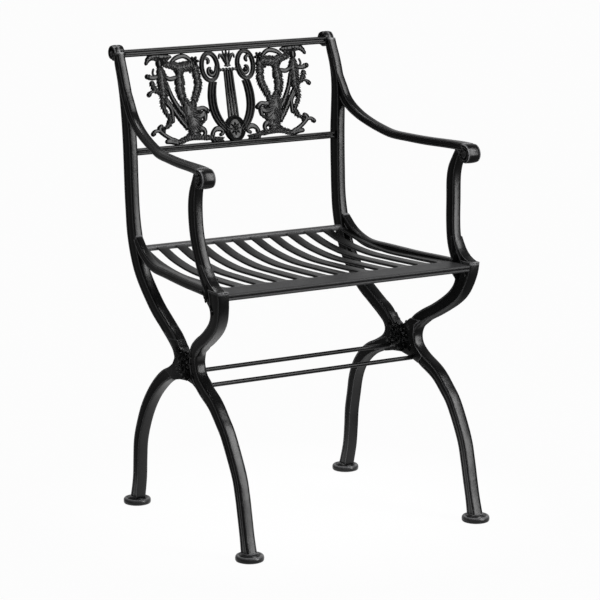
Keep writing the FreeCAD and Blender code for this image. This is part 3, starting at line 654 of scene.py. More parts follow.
@dataclass
class SideFrame:
    """One side casting: crossed legs, block, post, arm, seat rail, rolls, rosette and feet."""

    leg: float = 21.0
    knee: float = 25.0
    upright: float = 29.0
    upright_thick: float = 16.0
    post: float = 24.5
    post_thick: float = 17.0
    arm: float = 14.5
    arm_thick: float = 15.0
    rail: float = 17.0
    rail_thick: float = 14.0
    block: float = 37.0
    block_top: float = 460.0
    cross: tuple[float, float] = (178.0, 296.0)
    volute: tuple[float, float] = (41.0, 647.0)
    volute_radius: float = 19.3
    volute_thick: float = 26.0
    scroll: tuple[float, float] = (444.0, 816.0)
    scroll_radius: float = 16.0
    scroll_thick: float = 20.0
    front_foot: float = -44.0
    rear_foot: float = 376.0
    pad_radius: float = 25.0
    pad_height: float = 11.0

    def bars(self) -> list[Bar]:
        """Every bar of the casting."""
        return [self.rear_curve(), self.front_curve(), *self.struts(), self.arm_post(), self.arm_rest(),
                self.side_rail()]

    def rear_curve(self) -> Bar:
        """The upright, which turns at the rear waist of the crossing and becomes the rear leg."""
        thick = self.leg - 1.0
        return Bar([
            *bar_stations(self.upright, self.upright_thick, (430, 819, -15), (425, 802, -11), (413, 773, -9),
                          (404, 740, -5), (400, 703, -2), (398, 645, 0), (396, 587, 0), (393, 537, 0),
                          (387, 499, 1, 1), (374, 459, 0, 2)),
            (353, 423, self.upright - 2, thick - 1),
            *bar_stations(self.knee, thick, (308, 380, 0.5), (269, 356, 0), (238, 338, 0), (217, 322, 0),
                          (210, 303, 0), (219, 285, 0), (242, 271, -1), (271, 258, -1)),
            *bar_stations(self.leg, thick, (296, 240, 2.5), (318, 217, 1.5), (335, 189, 1.5),
                          (347, 156, 0.5), (356, 123, 0.5), (359, 89, 0), (362, 55, 0), (369, 25, 1),
                          (375, 5, 3))])

    def front_curve(self) -> Bar:
        """The arm under the block, which turns at the front waist and becomes the front leg."""
        return Bar([
            *bar_stations(self.block, self.leg, (18.5, self.block_top - 0.6, 0), (18.5, 448, 0),
                          (20.5, 436, -1), (25, 420, -4)),
            *bar_stations(self.knee, self.leg, (32, 405, 4), (46, 390, 1), (67, 375, -1), (90, 361, -2),
                          (118, 346, -2), (138, 330, -1), (145, 308, -1), (138, 286, -1), (116, 268, -1.5)),
            *bar_stations(self.leg, self.leg, (76, 248, 1.5), (48, 224, 0.5), (25, 199, 0), (-7, 144, -1),
                          (-19, 107, -1.5), (-27, 73, -2), (-35, 39, -2), (-43, 5, 3))])

    def struts(self) -> list[Bar]:
        """The inner ends of the four arms, which meet behind the flower."""
        return [Bar(bar_stations(self.knee, self.leg - 2.6, *rows)) for rows in (
            ((104, 354, -4), (118, 345, -2), (140, 329, 0), (159, 308, 0), (183, 282, 0)),
            ((255, 348, -2), (231, 336, 0), (200, 308, 0), (173, 283, 0)),
            ((192, 310, -1), (157, 285, -1), (116, 268, -3), (100, 260, -5)),
            ((170, 309, -1), (203, 287, -1), (239, 273, -3), (255, 266, -5)))]

    def arm_post(self) -> Bar:
        """The S-curved post that carries the arm."""
        return Bar(bar_stations(
            self.post, self.post_thick, (61, 653, -8), (70, 636, -6), (78, 617, -2), (81, 595, 0),
            (80, 565, 0), (77, 535, 0), (71, 507, 0), (63, 486, 1.5), (50, 466, 3, 1), (34, 446, 5, 2),
            (22, 428, 4, 2)))

    def arm_rest(self) -> Bar:
        """The arm, which leaves the upright in a hollow curve and widens to its roll."""
        return Bar(bar_stations(
            self.arm, self.arm_thick, (422, 790, -3), (414, 772, 1), (404, 752, 4), (391, 732, 5),
            (377, 712, 5), (359, 698, 3), (333, 685, 1), (304, 675, 0), (274, 667, 0), (242, 661, 0),
            (197, 659.5, 0), (150, 659, 0.5), (100, 660, 0.5, 1), (69, 660.3, 0.5, 4), (45, 659.6, 0, 9)))

    def side_rail(self) -> Bar:
        """The seat's side rail."""
        return Bar(bar_stations(
            self.rail, self.rail_thick, (28, 450, 0), (90, 450, 0), (160, 449, 0), (237, 450, 0),
            (292, 451, 0), (325, 459, 0), (350, 472, 0), (372, 492, -2)))

    def cast_block(self, casting: Casting) -> None:
        """The low rim round the flat top of the block, and the cove between block and post."""
        half, top, chamfer = self.block / 2, self.block_top, 1.6
        rings = []
        for z, grow in ((top - 3.4, -0.8), (top - 2.9, 0.0), (top - 0.6, 0.0), (top, -0.5)):
            x = SPREAD.half(half, z)
            reach_w, reach_t = half + grow, self.leg / 2 + grow
            quarter = [(reach_w, reach_t - chamfer), (reach_w - chamfer, reach_t)]
            upper = quarter + [(-w, t) for w, t in reversed(quarter)]
            rings.append([place(x + t, half + w, z) for w, t in upper + [(-w, -t) for w, t in upper]])
        casting.sweep(rings)
        cove = [(9.5, 459), (10.5, 460.6), (18, 463.2), (26, 467), (34, 472.6), (41.5, 479.4), (49, 488.6),
                (56, 498), (66, 498), (53, 458)]
        thick = self.post_thick + 0.6
        casting.plate([place(SPREAD.half(y, z) - thick / 2, y, z) for y, z in cove],
                      Vector((thick * MM, 0, 0)), soften=0.8)

    def cast_spiral(self, casting: Casting, centre: tuple[float, float], radius: float, thick: float,
                    start: float, turns: float, ribbon: float) -> None:
        """A ribbon that rolls inwards round a centre.

        Args:
            casting: The casting that it joins.
            centre: The roll's centre as y and z.
            radius: Its outer radius.
            thick: Its thickness across the chair.
            start: The angle at which it starts, in degrees from straight back, turning over the front.
            turns: How many turns it makes.
            ribbon: The ribbon's radial thickness.
        """
        steps, hold, pace = 46, 0.22, 0.85
        tail, heart, swell, square = 0.55, 0.20, 1.5, 1.12
        x = SPREAD.half(*centre)
        rings = []
        for index in range(steps + 1):
            share = index / steps
            angle = math.radians(start) + share * turns * math.tau
            inward = max(share - hold, 0.0) / (1.0 - hold)
            reach = mix(radius - ribbon / 2, radius * heart, inward ** pace)
            out = Vector((0.0, math.cos(angle), math.sin(angle)))
            middle = place(x, *centre) + out * (reach * MM)
            wide = mix(thick, thick + swell, share)
            limit = wide / 2 - 0.3
            points = Section.ROUNDED.outline(mix(ribbon, ribbon * tail, share), wide)
            rings.append([middle + out * (w * MM) + OUTWARD * (max(-limit, min(limit, t * square)) * MM)
                          for w, t in points])
        casting.sweep(rings)
        eye, core, half = radius * 0.30, radius * 0.80, thick / 2
        knob = [(half - 0.4, eye), (half + 0.8, eye * 0.7), (half + 1.2, 0.0)]
        drum = [(half - 4.0, core), (half - 3.0, core * 0.9), (half - 3.0, 0.0)]
        for outline, steps in ((knob, 20), (drum, 32)):
            whole = [(-along, out) for along, out in reversed(outline)] + outline
            casting.turn(place(x, *centre), OUTWARD, whole, steps)

    def cast_web(self, casting: Casting) -> None:
        """The web that fills the crossing."""
        y, z = self.cross
        outline = [(-61, 42), (-46, 31), (-42, 12), (-48, -6), (-71, -22), (-58, -37), (-32, -30), (-4, -26),
                   (24, -29), (50, -35), (75, -22), (50, -5), (41, 9), (46, 24), (62, 38), (32, 40), (23, 29),
                   (10, 23), (-8, 26), (-32, 42)]
        thick = 15.0
        x = SPREAD.half(y, z) - thick / 2
        casting.plate([place(x, y + a, z + b) for a, b in outline], Vector((thick * MM, 0, 0)), soften=1.0)

    def cast_foot(self, casting: Casting, y: float) -> None:
        """A round foot pad with a rolled rim."""
        r, top = self.pad_radius, self.pad_height
        outline = [(0.0, 0.0), (0.0, r - 3.2), (0.8, r - 1.2), (2.4, r - 0.3), (top * 0.5, r),
                   (top * 0.78, r - 0.5), (top * 0.95, r - 2.0), (top, r - 4.2), (top - 0.9, r - 6.4),
                   (top - 1.3, r - 7.6), (top + 0.6, r - 9.0), (top + 1.6, r - 11.0), (top + 3.2, r - 13.0),
                   (top + 3.4, 0.0)]
        casting.turn(place(SPREAD.half(y, 0.0), y, 0.0), Vector((0, 0, 1)), outline, steps=48)

    def build(self) -> list[bpy.types.Object]:
        """Build both side frames."""
        right = Casting("side_casting_right")
        for bar in self.bars():
            bar.cast(right)
        self.cast_block(right)
        self.cast_web(right)
        self.cast_spiral(right, self.volute, self.volute_radius, self.volute_thick, 62.0, 1.45, 8.0)
        self.cast_spiral(right, self.scroll, self.scroll_radius, self.scroll_thick, 190.0, -1.35, 6.5)
        self.cast_foot(right, self.front_foot)
        self.cast_foot(right, self.rear_foot)
        frames = right.pair(Finish.FRAME, Slot.SIDE_FRAME, "side_frame_right")
        return [*frames, *Carving(self).build()]


def leaf_form(lobes: int, depth: float) -> Callable[[Vector], Vector]:
    """A carving function that gives a lump lobes, a midrib and a pointed tip.

    Args:
        lobes: Lobes along each edge.
        depth: How far the lobes are cut in, as a share.

    Returns:
        A function of a point of the unit ball.
    """
    def carve(point: Vector) -> Vector:
        """Move one point of the unit ball."""
        along = (point.x + 1.0) / 2.0
        wave = math.sin(along * math.pi * lobes)
        taper = 1.0 - 0.55 * along ** 2
        cut = 1.0 - depth * wave * wave
        groove = 1.0 - 0.30 * math.exp(-(point.y / 0.16) ** 2) + 0.12 * wave * abs(point.y)
        return Vector((point.x, point.y * taper * cut, point.z * groove * (0.75 + 0.25 * cut)))
    return carve


@dataclass
class Carving:
    """The carved flowers and leaves on both faces of the side frames."""

    side: SideFrame
    petals: int = 12
    ring_beads: int = 18

    def build(self) -> list[bpy.types.Object]:
        """Build the carvings of both frames."""
        right = Casting("carving_right")
        for face in (1.0, -1.0):
            self.crossing_flower(right, face)
            self.block_leaf(right, face)
            self.roll_rosette(right, face, self.side.volute, self.side.volute_radius, self.side.volute_thick)
            self.roll_rosette(right, face, self.side.scroll, self.side.scroll_radius, self.side.scroll_thick)
        return right.pair(Finish.CARVING, Slot.SIDE_FRAME)

    @staticmethod
    def basis(y: float, z: float, out: float, face: float, degrees: float) -> Matrix:
        """Where a lump lies on a side face.

        Args:
            y: Its place in side view.
            z: Its height.
            out: Millimetres from the frame's middle plane.
            face: 1 for the outer face, -1 for the inner one.
            degrees: The way of its length in side view, from straight back and upwards.

        Returns:
            The lump's matrix.
        """
        turn = math.radians(degrees)
        length = Vector((0.0, math.cos(turn), math.sin(turn)))
        height = Vector((face, 0.0, 0.0))
        wide = height.cross(length)
        rows = Matrix((length, wide, height)).transposed().to_4x4()
        return Matrix.Translation(place(SPREAD.half(y, z) + face * out, y, z)) @ rows

    def ring(self, casting: Casting, y: float, z: float, out: float, face: float, reach: float, count: int,
             size: Vector, shape: Callable[[Vector], Vector], offset: float = 0.0) -> None:
        """A ring of lumps that point away from one centre.

        Args:
            casting: The casting that they join.
            y: The ring's centre in side view.
            z: Its height.
            out: Millimetres from the frame's middle plane.
            face: 1 for the outer face, -1 for the inner one.
            reach: The ring's radius.
            count: How many lumps it has.
            size: Half sizes of a lump.
            shape: How each lump is carved.
            offset: The first lump's angle in degrees.
        """
        for index in range(count):
            degrees = offset + 360.0 * index / count
            turn = math.radians(degrees)
            basis = self.basis(y + reach * math.cos(turn), z + reach * math.sin(turn), out, face, degrees)
            casting.lump(basis, size, shape, segments=12)

    def crossing_flower(self, casting: Casting, face: float) -> None:
        """The flower at the crossing: an oval ring in a wreath of petals, with a leaf along each arm."""
        y, z = self.side.cross[0], self.side.cross[1] + 2
        out = 11.0
        petal = leaf_form(1, 0.0)
        for index in range(self.ring_beads):
            turn = math.tau * index / self.ring_beads
            basis = self.basis(y + 8.5 * math.cos(turn), z + 12.0 * math.sin(turn), out + 1.6, face,
                               math.degrees(turn) + 90.0)
            casting.lump(basis, Vector((2.9, 1.7, 2.3)), segments=8)
        self.ring(casting, y, z, out + 1.0, face, 3.6, 5, Vector((3.2, 1.9, 2.6)), petal, offset=90.0)
        self.ring(casting, y, z, out, face, 18.0, self.petals, Vector((6.4, 4.0, 3.4)), leaf_form(1, 0.10))
        self.ring(casting, y, z, out - 0.8, face, 24.5, self.petals, Vector((3.6, 2.8, 2.8)), petal,
                  offset=180.0 / self.petals)
        leaf = leaf_form(3, 0.30)
        for degrees, reach in ((140, 35), (36, 35), (205, 34), (-22, 34)):
            for fan in (-20.0, 0.0, 20.0):
                turn = math.radians(degrees + fan * 0.35)
                basis = self.basis(y + reach * math.cos(turn), z + reach * math.sin(turn), out - 1.4, face,
                                   degrees + fan)
                casting.lump(basis, Vector((9.0 - abs(fan) * 0.1, 3.0, 2.4)), leaf)

    def block_leaf(self, casting: Casting, face: float) -> None:
        """The leaf that springs from behind the block, where post and seat rail meet."""
        leaf = leaf_form(4, 0.30)
        rows = ((47, 455, 104, 22, 8), (54, 449, 118, 11, 6), (38, 431, 250, 17, 7), (45, 435, 232, 11, 5),
                (64, 449, 8, 14, 5))
        for y, z, degrees, length, wide in rows:
            casting.lump(self.basis(y, z, 9.0, face, degrees), Vector((length, wide, 2.8)), leaf, segments=24)

    def roll_rosette(self, casting: Casting, face: float, centre: tuple[float, float], radius: float,
                     thick: float) -> None:
        """The small flower in the eye of a roll.

        Args:
            casting: The casting that it joins.
            face: 1 for the outer face, -1 for the inner one.
            centre: The roll's centre as y and z.
            radius: The roll's radius.
            thick: Its thickness across the chair.
        """
        y, z = centre
        self.ring(casting, y, z, thick / 2 - 1.2, face, radius * 0.40, 7,
                  Vector((radius * 0.20, radius * 0.15, 1.8)), leaf_form(1, 0.0))


# Seat


@dataclass
class Seat:
    """The front plate, ten slats, two side bands and the rear rail."""

    top: float = 455.0
    thick: float = 4.5
    plate_depth: float = 56.0
    slats: int = 10
    front_width: float = 20.5
    rear_width: float = 18.5
    front_band: float = 33.0
    rear_band: float = 16.0
    dip: float = 4.0
    rise: float = 21.5
    rear_rail: float = 373.0
    rail_height: float = 11.0
    rail_depth: float = 14.0
    rail_inset: float = 7.0
    corner: float = 0.9

    def rear_end(self) -> tuple[float, float]:
        """Where the slats meet the rear rail, as y and z."""
        return self.rear_rail - self.rail_depth / 2, self.top + self.rise - self.rail_height * 0.35

    def line(self) -> Line:
        """The seat's top line as y and z."""
        start, (end, rear) = self.plate_depth, self.rear_end()
        return Line([(start, self.top), (mix(start, end, 0.28), self.top - self.dip * 0.75),
                     (mix(start, end, 0.55), self.top - self.dip),
                     (mix(start, end, 0.8), mix(self.top, rear, 0.2)), (end, rear)])

    def band_inner(self, reach: float) -> float:
        """The inner edge of a side band at a share of the slats' length."""
        front_edge = SPREAD.half(self.plate_depth, self.top) - self.front_band
        return mix(front_edge, SPREAD.half(*self.rear_end()) - self.rear_band, reach)

    def gap(self, reach: float) -> float:
        """The even gap between the slats and beside the bands."""
        width = mix(self.front_width, self.rear_width, reach)
        return (2 * self.band_inner(reach) - self.slats * width) / (self.slats + 1)

    def flare(self, y: float) -> float:
        """How far an edge swells into its gap, so that each gap starts round at the plate."""
        radius = self.gap(0.0) / 2 - 0.3
        ahead = max(self.plate_depth + radius - y, 0.0)
        return radius - math.sqrt(max(radius ** 2 - ahead ** 2, 0.0))

    def slat_edges(self, number: int, reach: float, y: float) -> tuple[float, float]:
        """A slat's two x places at a share of its length."""
        width = mix(self.front_width, self.rear_width, reach)
        middle = (number - (self.slats - 1) / 2) * (width + self.gap(reach))
        half = width / 2 + self.flare(y)
        return middle - half, middle + half

    def strip(self, casting: Casting,
              edges: Callable[[float, float, float], tuple[float, float]]) -> None:
        """A thin strip along the seat line with softened edges.

        Args:
            casting: The casting that it joins.
            edges: Gives the two x places for a share of the length, a y and a z.
        """
        rows = self.line().sampled(10.0)
        rows[1:1] = [[self.plate_depth + ahead, self.top - ahead * 0.03]
                     for ahead in (0.4, 1.2, 2.4, 4.0, 6.0)]
        start, end = rows[0][0], rows[-1][0]
        soft, nick, low = self.corner, self.corner * 0.3, -self.thick
        rings = []
        for y, z in rows:
            left, right = edges((y - start) / (end - start), y, z)
            outline = [(left + soft, 0.0), (right - soft, 0.0), (right - nick, -nick), (right, -soft),
                       (right, soft + low), (right - soft, low), (left + soft, low), (left, soft + low),
                       (left, -soft), (left + nick, -nick)]
            rings.append([place(x, y, z + drop) for x, drop in outline])
        casting.sweep(rings)

    def build_slats(self) -> list[bpy.types.Object]:
        """The slats, one piece each."""
        pieces = []
        for number in range(self.slats):
            casting = Casting(f"slat_{number + 1:02d}")
            self.strip(casting, lambda reach, y, z: self.slat_edges(number, reach, y))
            pieces.append(casting.finish(Finish.SEAT, Slot.SEAT, f"seat_slat_{number + 1:02d}"))
        return pieces

    def build_bands(self) -> list[bpy.types.Object]:
        """The flat bands along the side rails."""
        def edges(reach: float, y: float, z: float) -> tuple[float, float]:
            """The band's inner and outer edge."""
            return self.band_inner(reach) - self.flare(y), SPREAD.half(y, z) - self.rail_inset + 1.0
        right = Casting("side_band_right")
        self.strip(right, edges)
        return right.pair(Finish.SEAT, Slot.SEAT, "seat_band_right")

    def build_front(self) -> bpy.types.Object:
        """The front plate with its double bead."""
        casting = Casting("front_plate")
        top, deep = self.top, self.plate_depth
        half_front, half_rear = SPREAD.half(0, top) - 9.8, SPREAD.half(deep, top) - 5.0
        radius, groove = 2.5, 1.3
        drop = 2 * radius + groove
        turns = [math.pi * step / 8 for step in range(9)]
        bead = [(0.4 + radius * (1 - math.sin(turn)), radius * (math.cos(turn) - 1)) for turn in turns]
        outline = [(deep, top), (7.0, top), *[(y, top + z) for y, z in bead], (5.0, top - drop + groove / 2),
                   *[(y, top + z - drop) for y, z in bead], (6.4, top - 2 * drop + groove), (8.2, top - 10.0),
                   (9.0, top - self.thick), (deep, top - self.thick)]
        rings = []
        for side in (-1.0, 1.0):
            rings.append([place(side * mix(half_front, half_rear, y / deep), max(y, y * 0.9 + 1.2), z)
                          for y, z in outline])
        casting.sweep(rings)
        return casting.finish(Finish.PLATE, Slot.SEAT, "seat_front_rail")

    def build_rear(self) -> bpy.types.Object:
        """The rounded rear rail."""
        casting = Casting("rear_rail")
        y, z = self.rear_rail, self.top + self.rise - self.rail_height / 2
        reach = SPREAD.half(y, z) - 4.0
        outline = Section.ROUNDED.outline(self.rail_depth, self.rail_height)
        casting.sweep([[place(side * reach, y + w, z + t) for w, t in outline] for side in (-1.0, 1.0)])
        return casting.finish(Finish.SEAT, Slot.SEAT, "seat_rear_rail")

    def build(self) -> list[bpy.types.Object]:
        """Build the whole seat."""
        return [*self.build_slats(), *self.build_bands(), self.build_front(), self.build_rear()]


# Back


class Relief(Enum):
    """How a scroll line of the openwork is carved."""

    PLAIN = "plain"
    BEADED = "beaded"
    FEATHER = "feather"
    TWISTED = "twisted"


@dataclass(frozen=True)
class Stroke:
    """One scroll line of the openwork, as (u, v, width) stations with its relief."""

    stations: tuple[tuple[float, float, float], ...]
    relief: Relief = Relief.PLAIN
    thick: float = 5.6


@dataclass
class BackPanel:
    """The openwork between the crest rail and the lower rail, drawn flat and leaned back."""

    low_rail: tuple[float, float] = (397.0, 643.0)
    crest: tuple[float, float] = (435.0, 816.0)
    low_height: float = 12.0
    crest_height: float = 13.0

    def lean(self) -> Matrix:
        """The matrix that stands the flat drawing, in metres, between the rails."""
        foot = self.low_rail[1] + self.low_height / 2
        head = self.crest[1] - self.crest_height / 2
        turn = math.pi / 2 - math.atan2(self.crest[0] - self.low_rail[0], head - foot)
        return Matrix.Translation(place(0.0, self.low_rail[0], foot)) @ Matrix.Rotation(turn, 4, "X")

    def spot(self, u: float, v: float, out: float = 0.0, turn: float = 0.0) -> Matrix:
        """Where a lump lies on the panel, from drawing millimetres and a turn in radians."""
        return self.lean() @ Matrix.Translation(Vector((u, v, out)) * MM) @ Matrix.Rotation(turn, 4, "Z")

    def vine(self, casting: Casting, stroke: Stroke) -> None:
        """Sweep an oval section along a stroke, rippled as its relief asks."""
        rows = Line(stroke.stations).sampled(2.0)
        lean = self.lean()
        rings = []
        travelled = 0.0
        last = rows[0]
        for index, (row, left) in enumerate(flanked(rows)):
            travelled += math.hypot(row[0] - last[0], row[1] - last[1])
            last = row
            oval = self._oval(row, left, stroke, travelled, index in (0, len(rows) - 1))
            rings.append([lean @ (point * MM) for point in oval])
        casting.sweep(rings)

    @staticmethod
    def _oval(row: Sequence[float], left: Vector, stroke: Stroke, travelled: float,
              tip: bool) -> list[Vector]:
        """The points of one oval section of a vine.

        Args:
            row: The section's u, v and width.
            left: The way across the vine.
            stroke: The stroke that it follows.
            travelled: Millimetres from the stroke's start.
            tip: Whether the vine ends here.

        Returns:
            Points in drawing millimetres, in order round the section.
        """
        count, pinch = 14, 0.55
        u, v, width = row
        half_w, half_t = width / 2, stroke.thick / 2
        if stroke.relief is Relief.BEADED:
            beat = abs(math.sin(travelled / max(width * 0.8, 3.0) * math.pi))
            half_w *= 0.70 + 0.34 * beat
            half_t *= 0.62 + 0.40 * beat
        if stroke.relief is Relief.FEATHER:
            beat = (travelled / 5.5) % 1.0
            half_w *= 0.84 + 0.22 * beat
            half_t *= 0.74 + 0.28 * beat
        if tip:
            half_w, half_t = half_w * pinch, half_t * pinch
        points = []
        for index in range(count):
            angle = math.tau * index / count
            wave = 1.0
            if stroke.relief is Relief.TWISTED:
                wave = 0.86 + 0.16 * math.cos(3 * angle + travelled * 0.9)
            if stroke.relief is Relief.PLAIN:
                wave = 1.0 - 0.16 * math.exp(-(math.cos(angle) / 0.30) ** 2)
            points.append(Vector((u, v, 0.0)) + left * (half_w * math.cos(angle) * min(wave * 1.05, 1.05))
                          + Vector((0.0, 0.0, half_t * math.sin(angle) * wave)))
        return points

    def foliage(self, casting: Casting, stroke: Stroke, pitch: float) -> None:
        """Pairs of small leaves along both faces of a stroke.

        Args:
            casting: The casting that they join.
            stroke: The stroke that they cover.
            pitch: Millimetres from one pair to the next.
        """
        rows = Line(stroke.stations).sampled(2.0)
        leaf = leaf_form(2, 0.25)
        travelled = 0.0
        for before, after in zip(rows, rows[1:]):
            travelled += math.hypot(after[0] - before[0], after[1] - before[1])
            if travelled < pitch:
                continue
            travelled -= pitch
            along = math.atan2(after[1] - before[1], after[0] - before[0])
            for side in (-1.0, 1.0):
                aside = along + side * math.pi / 2
                reach = 0.26 * after[2]
                for face in (-1.0, 1.0):
                    spot = self.spot(after[0] + reach * math.cos(aside), after[1] + reach * math.sin(aside),
                                     face * stroke.thick * 0.40, along + side * 0.75)
                    casting.lump(spot, Vector((after[2] * 0.30 + 1.4, 1.9, 1.7)), leaf, segments=10)

    def ribbed(self, casting: Casting, line: Sequence[tuple[float, float, float]], ribs: int, thick: float,
               closed: bool = False) -> None:
        """Sweep a reeded flat section along a line.

        Args:
            casting: The casting that it joins.
            line: Points as (u, v, width).
            ribs: Reeds across the width.
            thick: The section's thickness.
            closed: Whether the line is a ring whose last station is its first.
        """
        lean = self.lean()
        rings = []
        for (u, v, width), left in flanked(Line(line).sampled(3.0)):
            rings.append([lean @ ((Vector((u, v, 0.0)) + left * a + Vector((0.0, 0.0, b))) * MM)
                          for a, b in reeded(width, thick, ribs)])
        casting.sweep(rings[:-1] if closed else rings, closed=closed)

    def bead(self, casting: Casting, u: float, v: float, half_u: float, half_v: float, half_out: float,
             degrees: float = 0.0, shape: Callable[[Vector], Vector] | None = None) -> None:
        """A lump on the panel's middle plane.

        Args:
            casting: The casting that it joins.
            u: Its place across the panel.
            v: Its place up the panel.
            half_u: Half its length.
            half_v: Half its width.
            half_out: Half its height over both faces.
            degrees: The way of its length, from across and upwards.
            shape: How it is carved.
        """
        casting.lump(self.spot(u, v, turn=math.radians(degrees)), Vector((half_u, half_v, half_out)), shape)


def reeded(width: float, thick: float, ribs: int, gap: float = 0.8) -> list[tuple[float, float]]:
    """Points round a flat section whose two faces carry round reeds.

    Args:
        width: The section's width.
        thick: Its thickness over the reeds.
        ribs: Reeds across the width.
        gap: The width of the groove between two reeds.

    Returns:
        Points as (width, thickness) offsets, in order.
    """
    steps = 10
    half = (width - gap * (ribs - 1)) / (2 * ribs)
    rise = min(half, thick * 0.36)
    face = []
    for index in range(ribs):
        middle = width / 2 - half - index * (2 * half + gap)
        for step in range(steps + 1):
            turn = math.pi * step / steps
            face.append((middle + half * math.cos(turn), thick / 2 - rise + rise * math.sin(turn)))
    return face + [(-w, -t) for w, t in face]


@dataclass
class Lyre:
    """The lyre in the middle of the back: arms, rings, crossbar, strings, medallion and crown."""

    panel: BackPanel
    ring_u: float = 37.5
    ring_v: float = 137.0
    ring_half_u: float = 16.5
    ring_half_v: float = 25.0
    ring_band: float = 8.0
    crossbar_v: float = 130.0
    medallion_v: float = 21.0
    medallion_half_u: float = 21.5
    medallion_half_v: float = 24.5
    strings: int = 4
    string_pitch_top: float = 5.0
    string_pitch_foot: float = 6.2

    def scroll(self, casting: Casting, side: float, thick: float,
               *places: tuple[float, float, float]) -> None:
        """A plain scroll through places of u, v and width, with u times the side."""
        self.panel.vine(casting, Stroke(tuple((side * u, v, width) for u, v, width in places), thick=thick))

    def cast_half(self, casting: Casting, side: float) -> None:
        """One arm with its ring and curl."""
        steps = 24
        ring = []
        for index in range(steps + 1):
            angle = math.tau * index / steps
            ring.append((side * (self.ring_u + self.ring_half_u * math.cos(angle)),
                         self.ring_v + self.ring_half_v * math.sin(angle), self.ring_band))
        self.panel.ribbed(casting, ring, 2, 7.6, closed=True)
        arm = [(34, 110, 15), (37.5, 98, 16), (40, 80, 17), (39, 60, 17), (33, 42, 16), (24, 28, 14),
               (14, 18, 12)]
        self.panel.ribbed(casting, [(side * u, v, w) for u, v, w in arm], 3, 7.8)
        self.scroll(casting, side, 6.4, (24, 140, 4), (27, 128, 6), (34, 121, 7), (41, 125, 7), (41, 133, 6),
                    (35, 135, 5))
        self.scroll(casting, side, 6.4, (50, 152, 4), (43, 153, 6), (39, 148, 7), (42, 142, 5))
        self.panel.bead(casting, side * 36.0, 128.0, 4.5, 4.5, 3.6)

    def cast_crown(self, casting: Casting) -> None:
        """The crossbar with its beads, and the leaf that rises to the crest rail."""
        bar, foot, reach = self.crossbar_v, 137.0, 15.0
        self.scroll(casting, 1.0, 6.0, (-21, bar, 4.6), (0, bar, 4.6), (21, bar, 4.6))
        for u in (-17.0, -10.0, -3.4, 3.4, 10.0, 17.0):
            self.panel.bead(casting, u, bar, 3.1, 3.6, 3.6)
        leaf = leaf_form(3, 0.18)
        for lean_out, length, wide in ((0, 17.0, 4.6), (15, 16.0, 3.6), (-15, 16.0, 3.6), (32, 13.5, 3.0),
                                       (-32, 13.5, 3.0)):
            turn = math.radians(90.0 - lean_out)
            self.panel.bead(casting, reach * math.cos(turn), foot + reach * math.sin(turn), length, wide, 2.8,
                            90.0 - lean_out, leaf)
        self.panel.bead(casting, 0.0, 147.0, 7.0, 13.0, 2.6)
        for side in (-1.0, 1.0):
            self.scroll(casting, side, 5.0, (4, 146, 4), (9, 156, 5), (15, 157, 4), (16, 150, 3))
        self.scroll(casting, 1.0, 6.4, (-6.5, foot, 3.6), (6.5, foot, 3.6))
        self.scroll(casting, 1.0, 6.0, (-5.5, 144, 3.2), (5.5, 144, 3.2))

    def build_strings(self) -> bpy.types.Object:
        """The strings, which spread a little towards the medallion."""
        casting = Casting("strings")
        top, foot = self.string_pitch_top, self.string_pitch_foot
        for number in range(self.strings):
            self.scroll(casting, number - (self.strings - 1) / 2, 4.4, (foot, self.medallion_v + 16.0, 5.0),
                        ((foot + top) / 2, 85.0, 4.7), (top, self.crossbar_v, 4.4))
        return casting.finish(Finish.CARVING, Slot.BACK, "lyre_strings")

    def build_medallion(self) -> bpy.types.Object:
        """The oval medallion: rim, sunk field, and a small flower in the middle."""
        casting = Casting("medallion")
        lean, steps, petals, middle = self.panel.lean(), 40, 8, self.medallion_v
        profile = [(1.0, 0.0), (0.99, 2.6), (0.96, 4.3), (0.92, 5.0), (0.88, 4.4), (0.86, 2.6), (0.83, 2.2),
                   (0.80, 2.6), (0.77, 3.3), (0.73, 2.6), (0.68, 2.0), (0.40, 2.3), (0.12, 2.6)]
        rings = []
        for share, out in [*reversed(profile), *[(share, -out) for share, out in profile[1:]]]:
            half_u, half_v = self.medallion_half_u * share, self.medallion_half_v * share
            turns = [math.tau * index / steps for index in range(steps)]
            places = [(half_u * math.cos(turn), middle + half_v * math.sin(turn), out) for turn in turns]
            rings.append([lean @ (Vector(point) * MM) for point in places])
        casting.sweep(rings)
        for face in (1.0, -1.0):
            for index in range(petals):
                turn = math.radians(360.0 / petals * index)
                spot = self.panel.spot(6.6 * math.cos(turn), middle + 7.6 * math.sin(turn), face * 3.3, turn)
                casting.lump(spot, Vector((5.0, 2.3, 1.4)), leaf_form(1, 0.0), segments=12)
            casting.lump(self.panel.spot(0.0, middle, face * 3.5), Vector((2.6, 2.6, 1.5)), segments=12)
        return casting.finish(Finish.CARVING, Slot.BACK, "lyre_medallion")

    def build(self) -> list[bpy.types.Object]:
        """Build the lyre."""
        casting = Casting("lyre_body")
        for side in (1.0, -1.0):
            self.cast_half(casting, side)
        self.cast_crown(casting)
        body = casting.finish(Finish.CARVING, Slot.BACK, "lyre")
        return [body, self.build_strings(), self.build_medallion()]


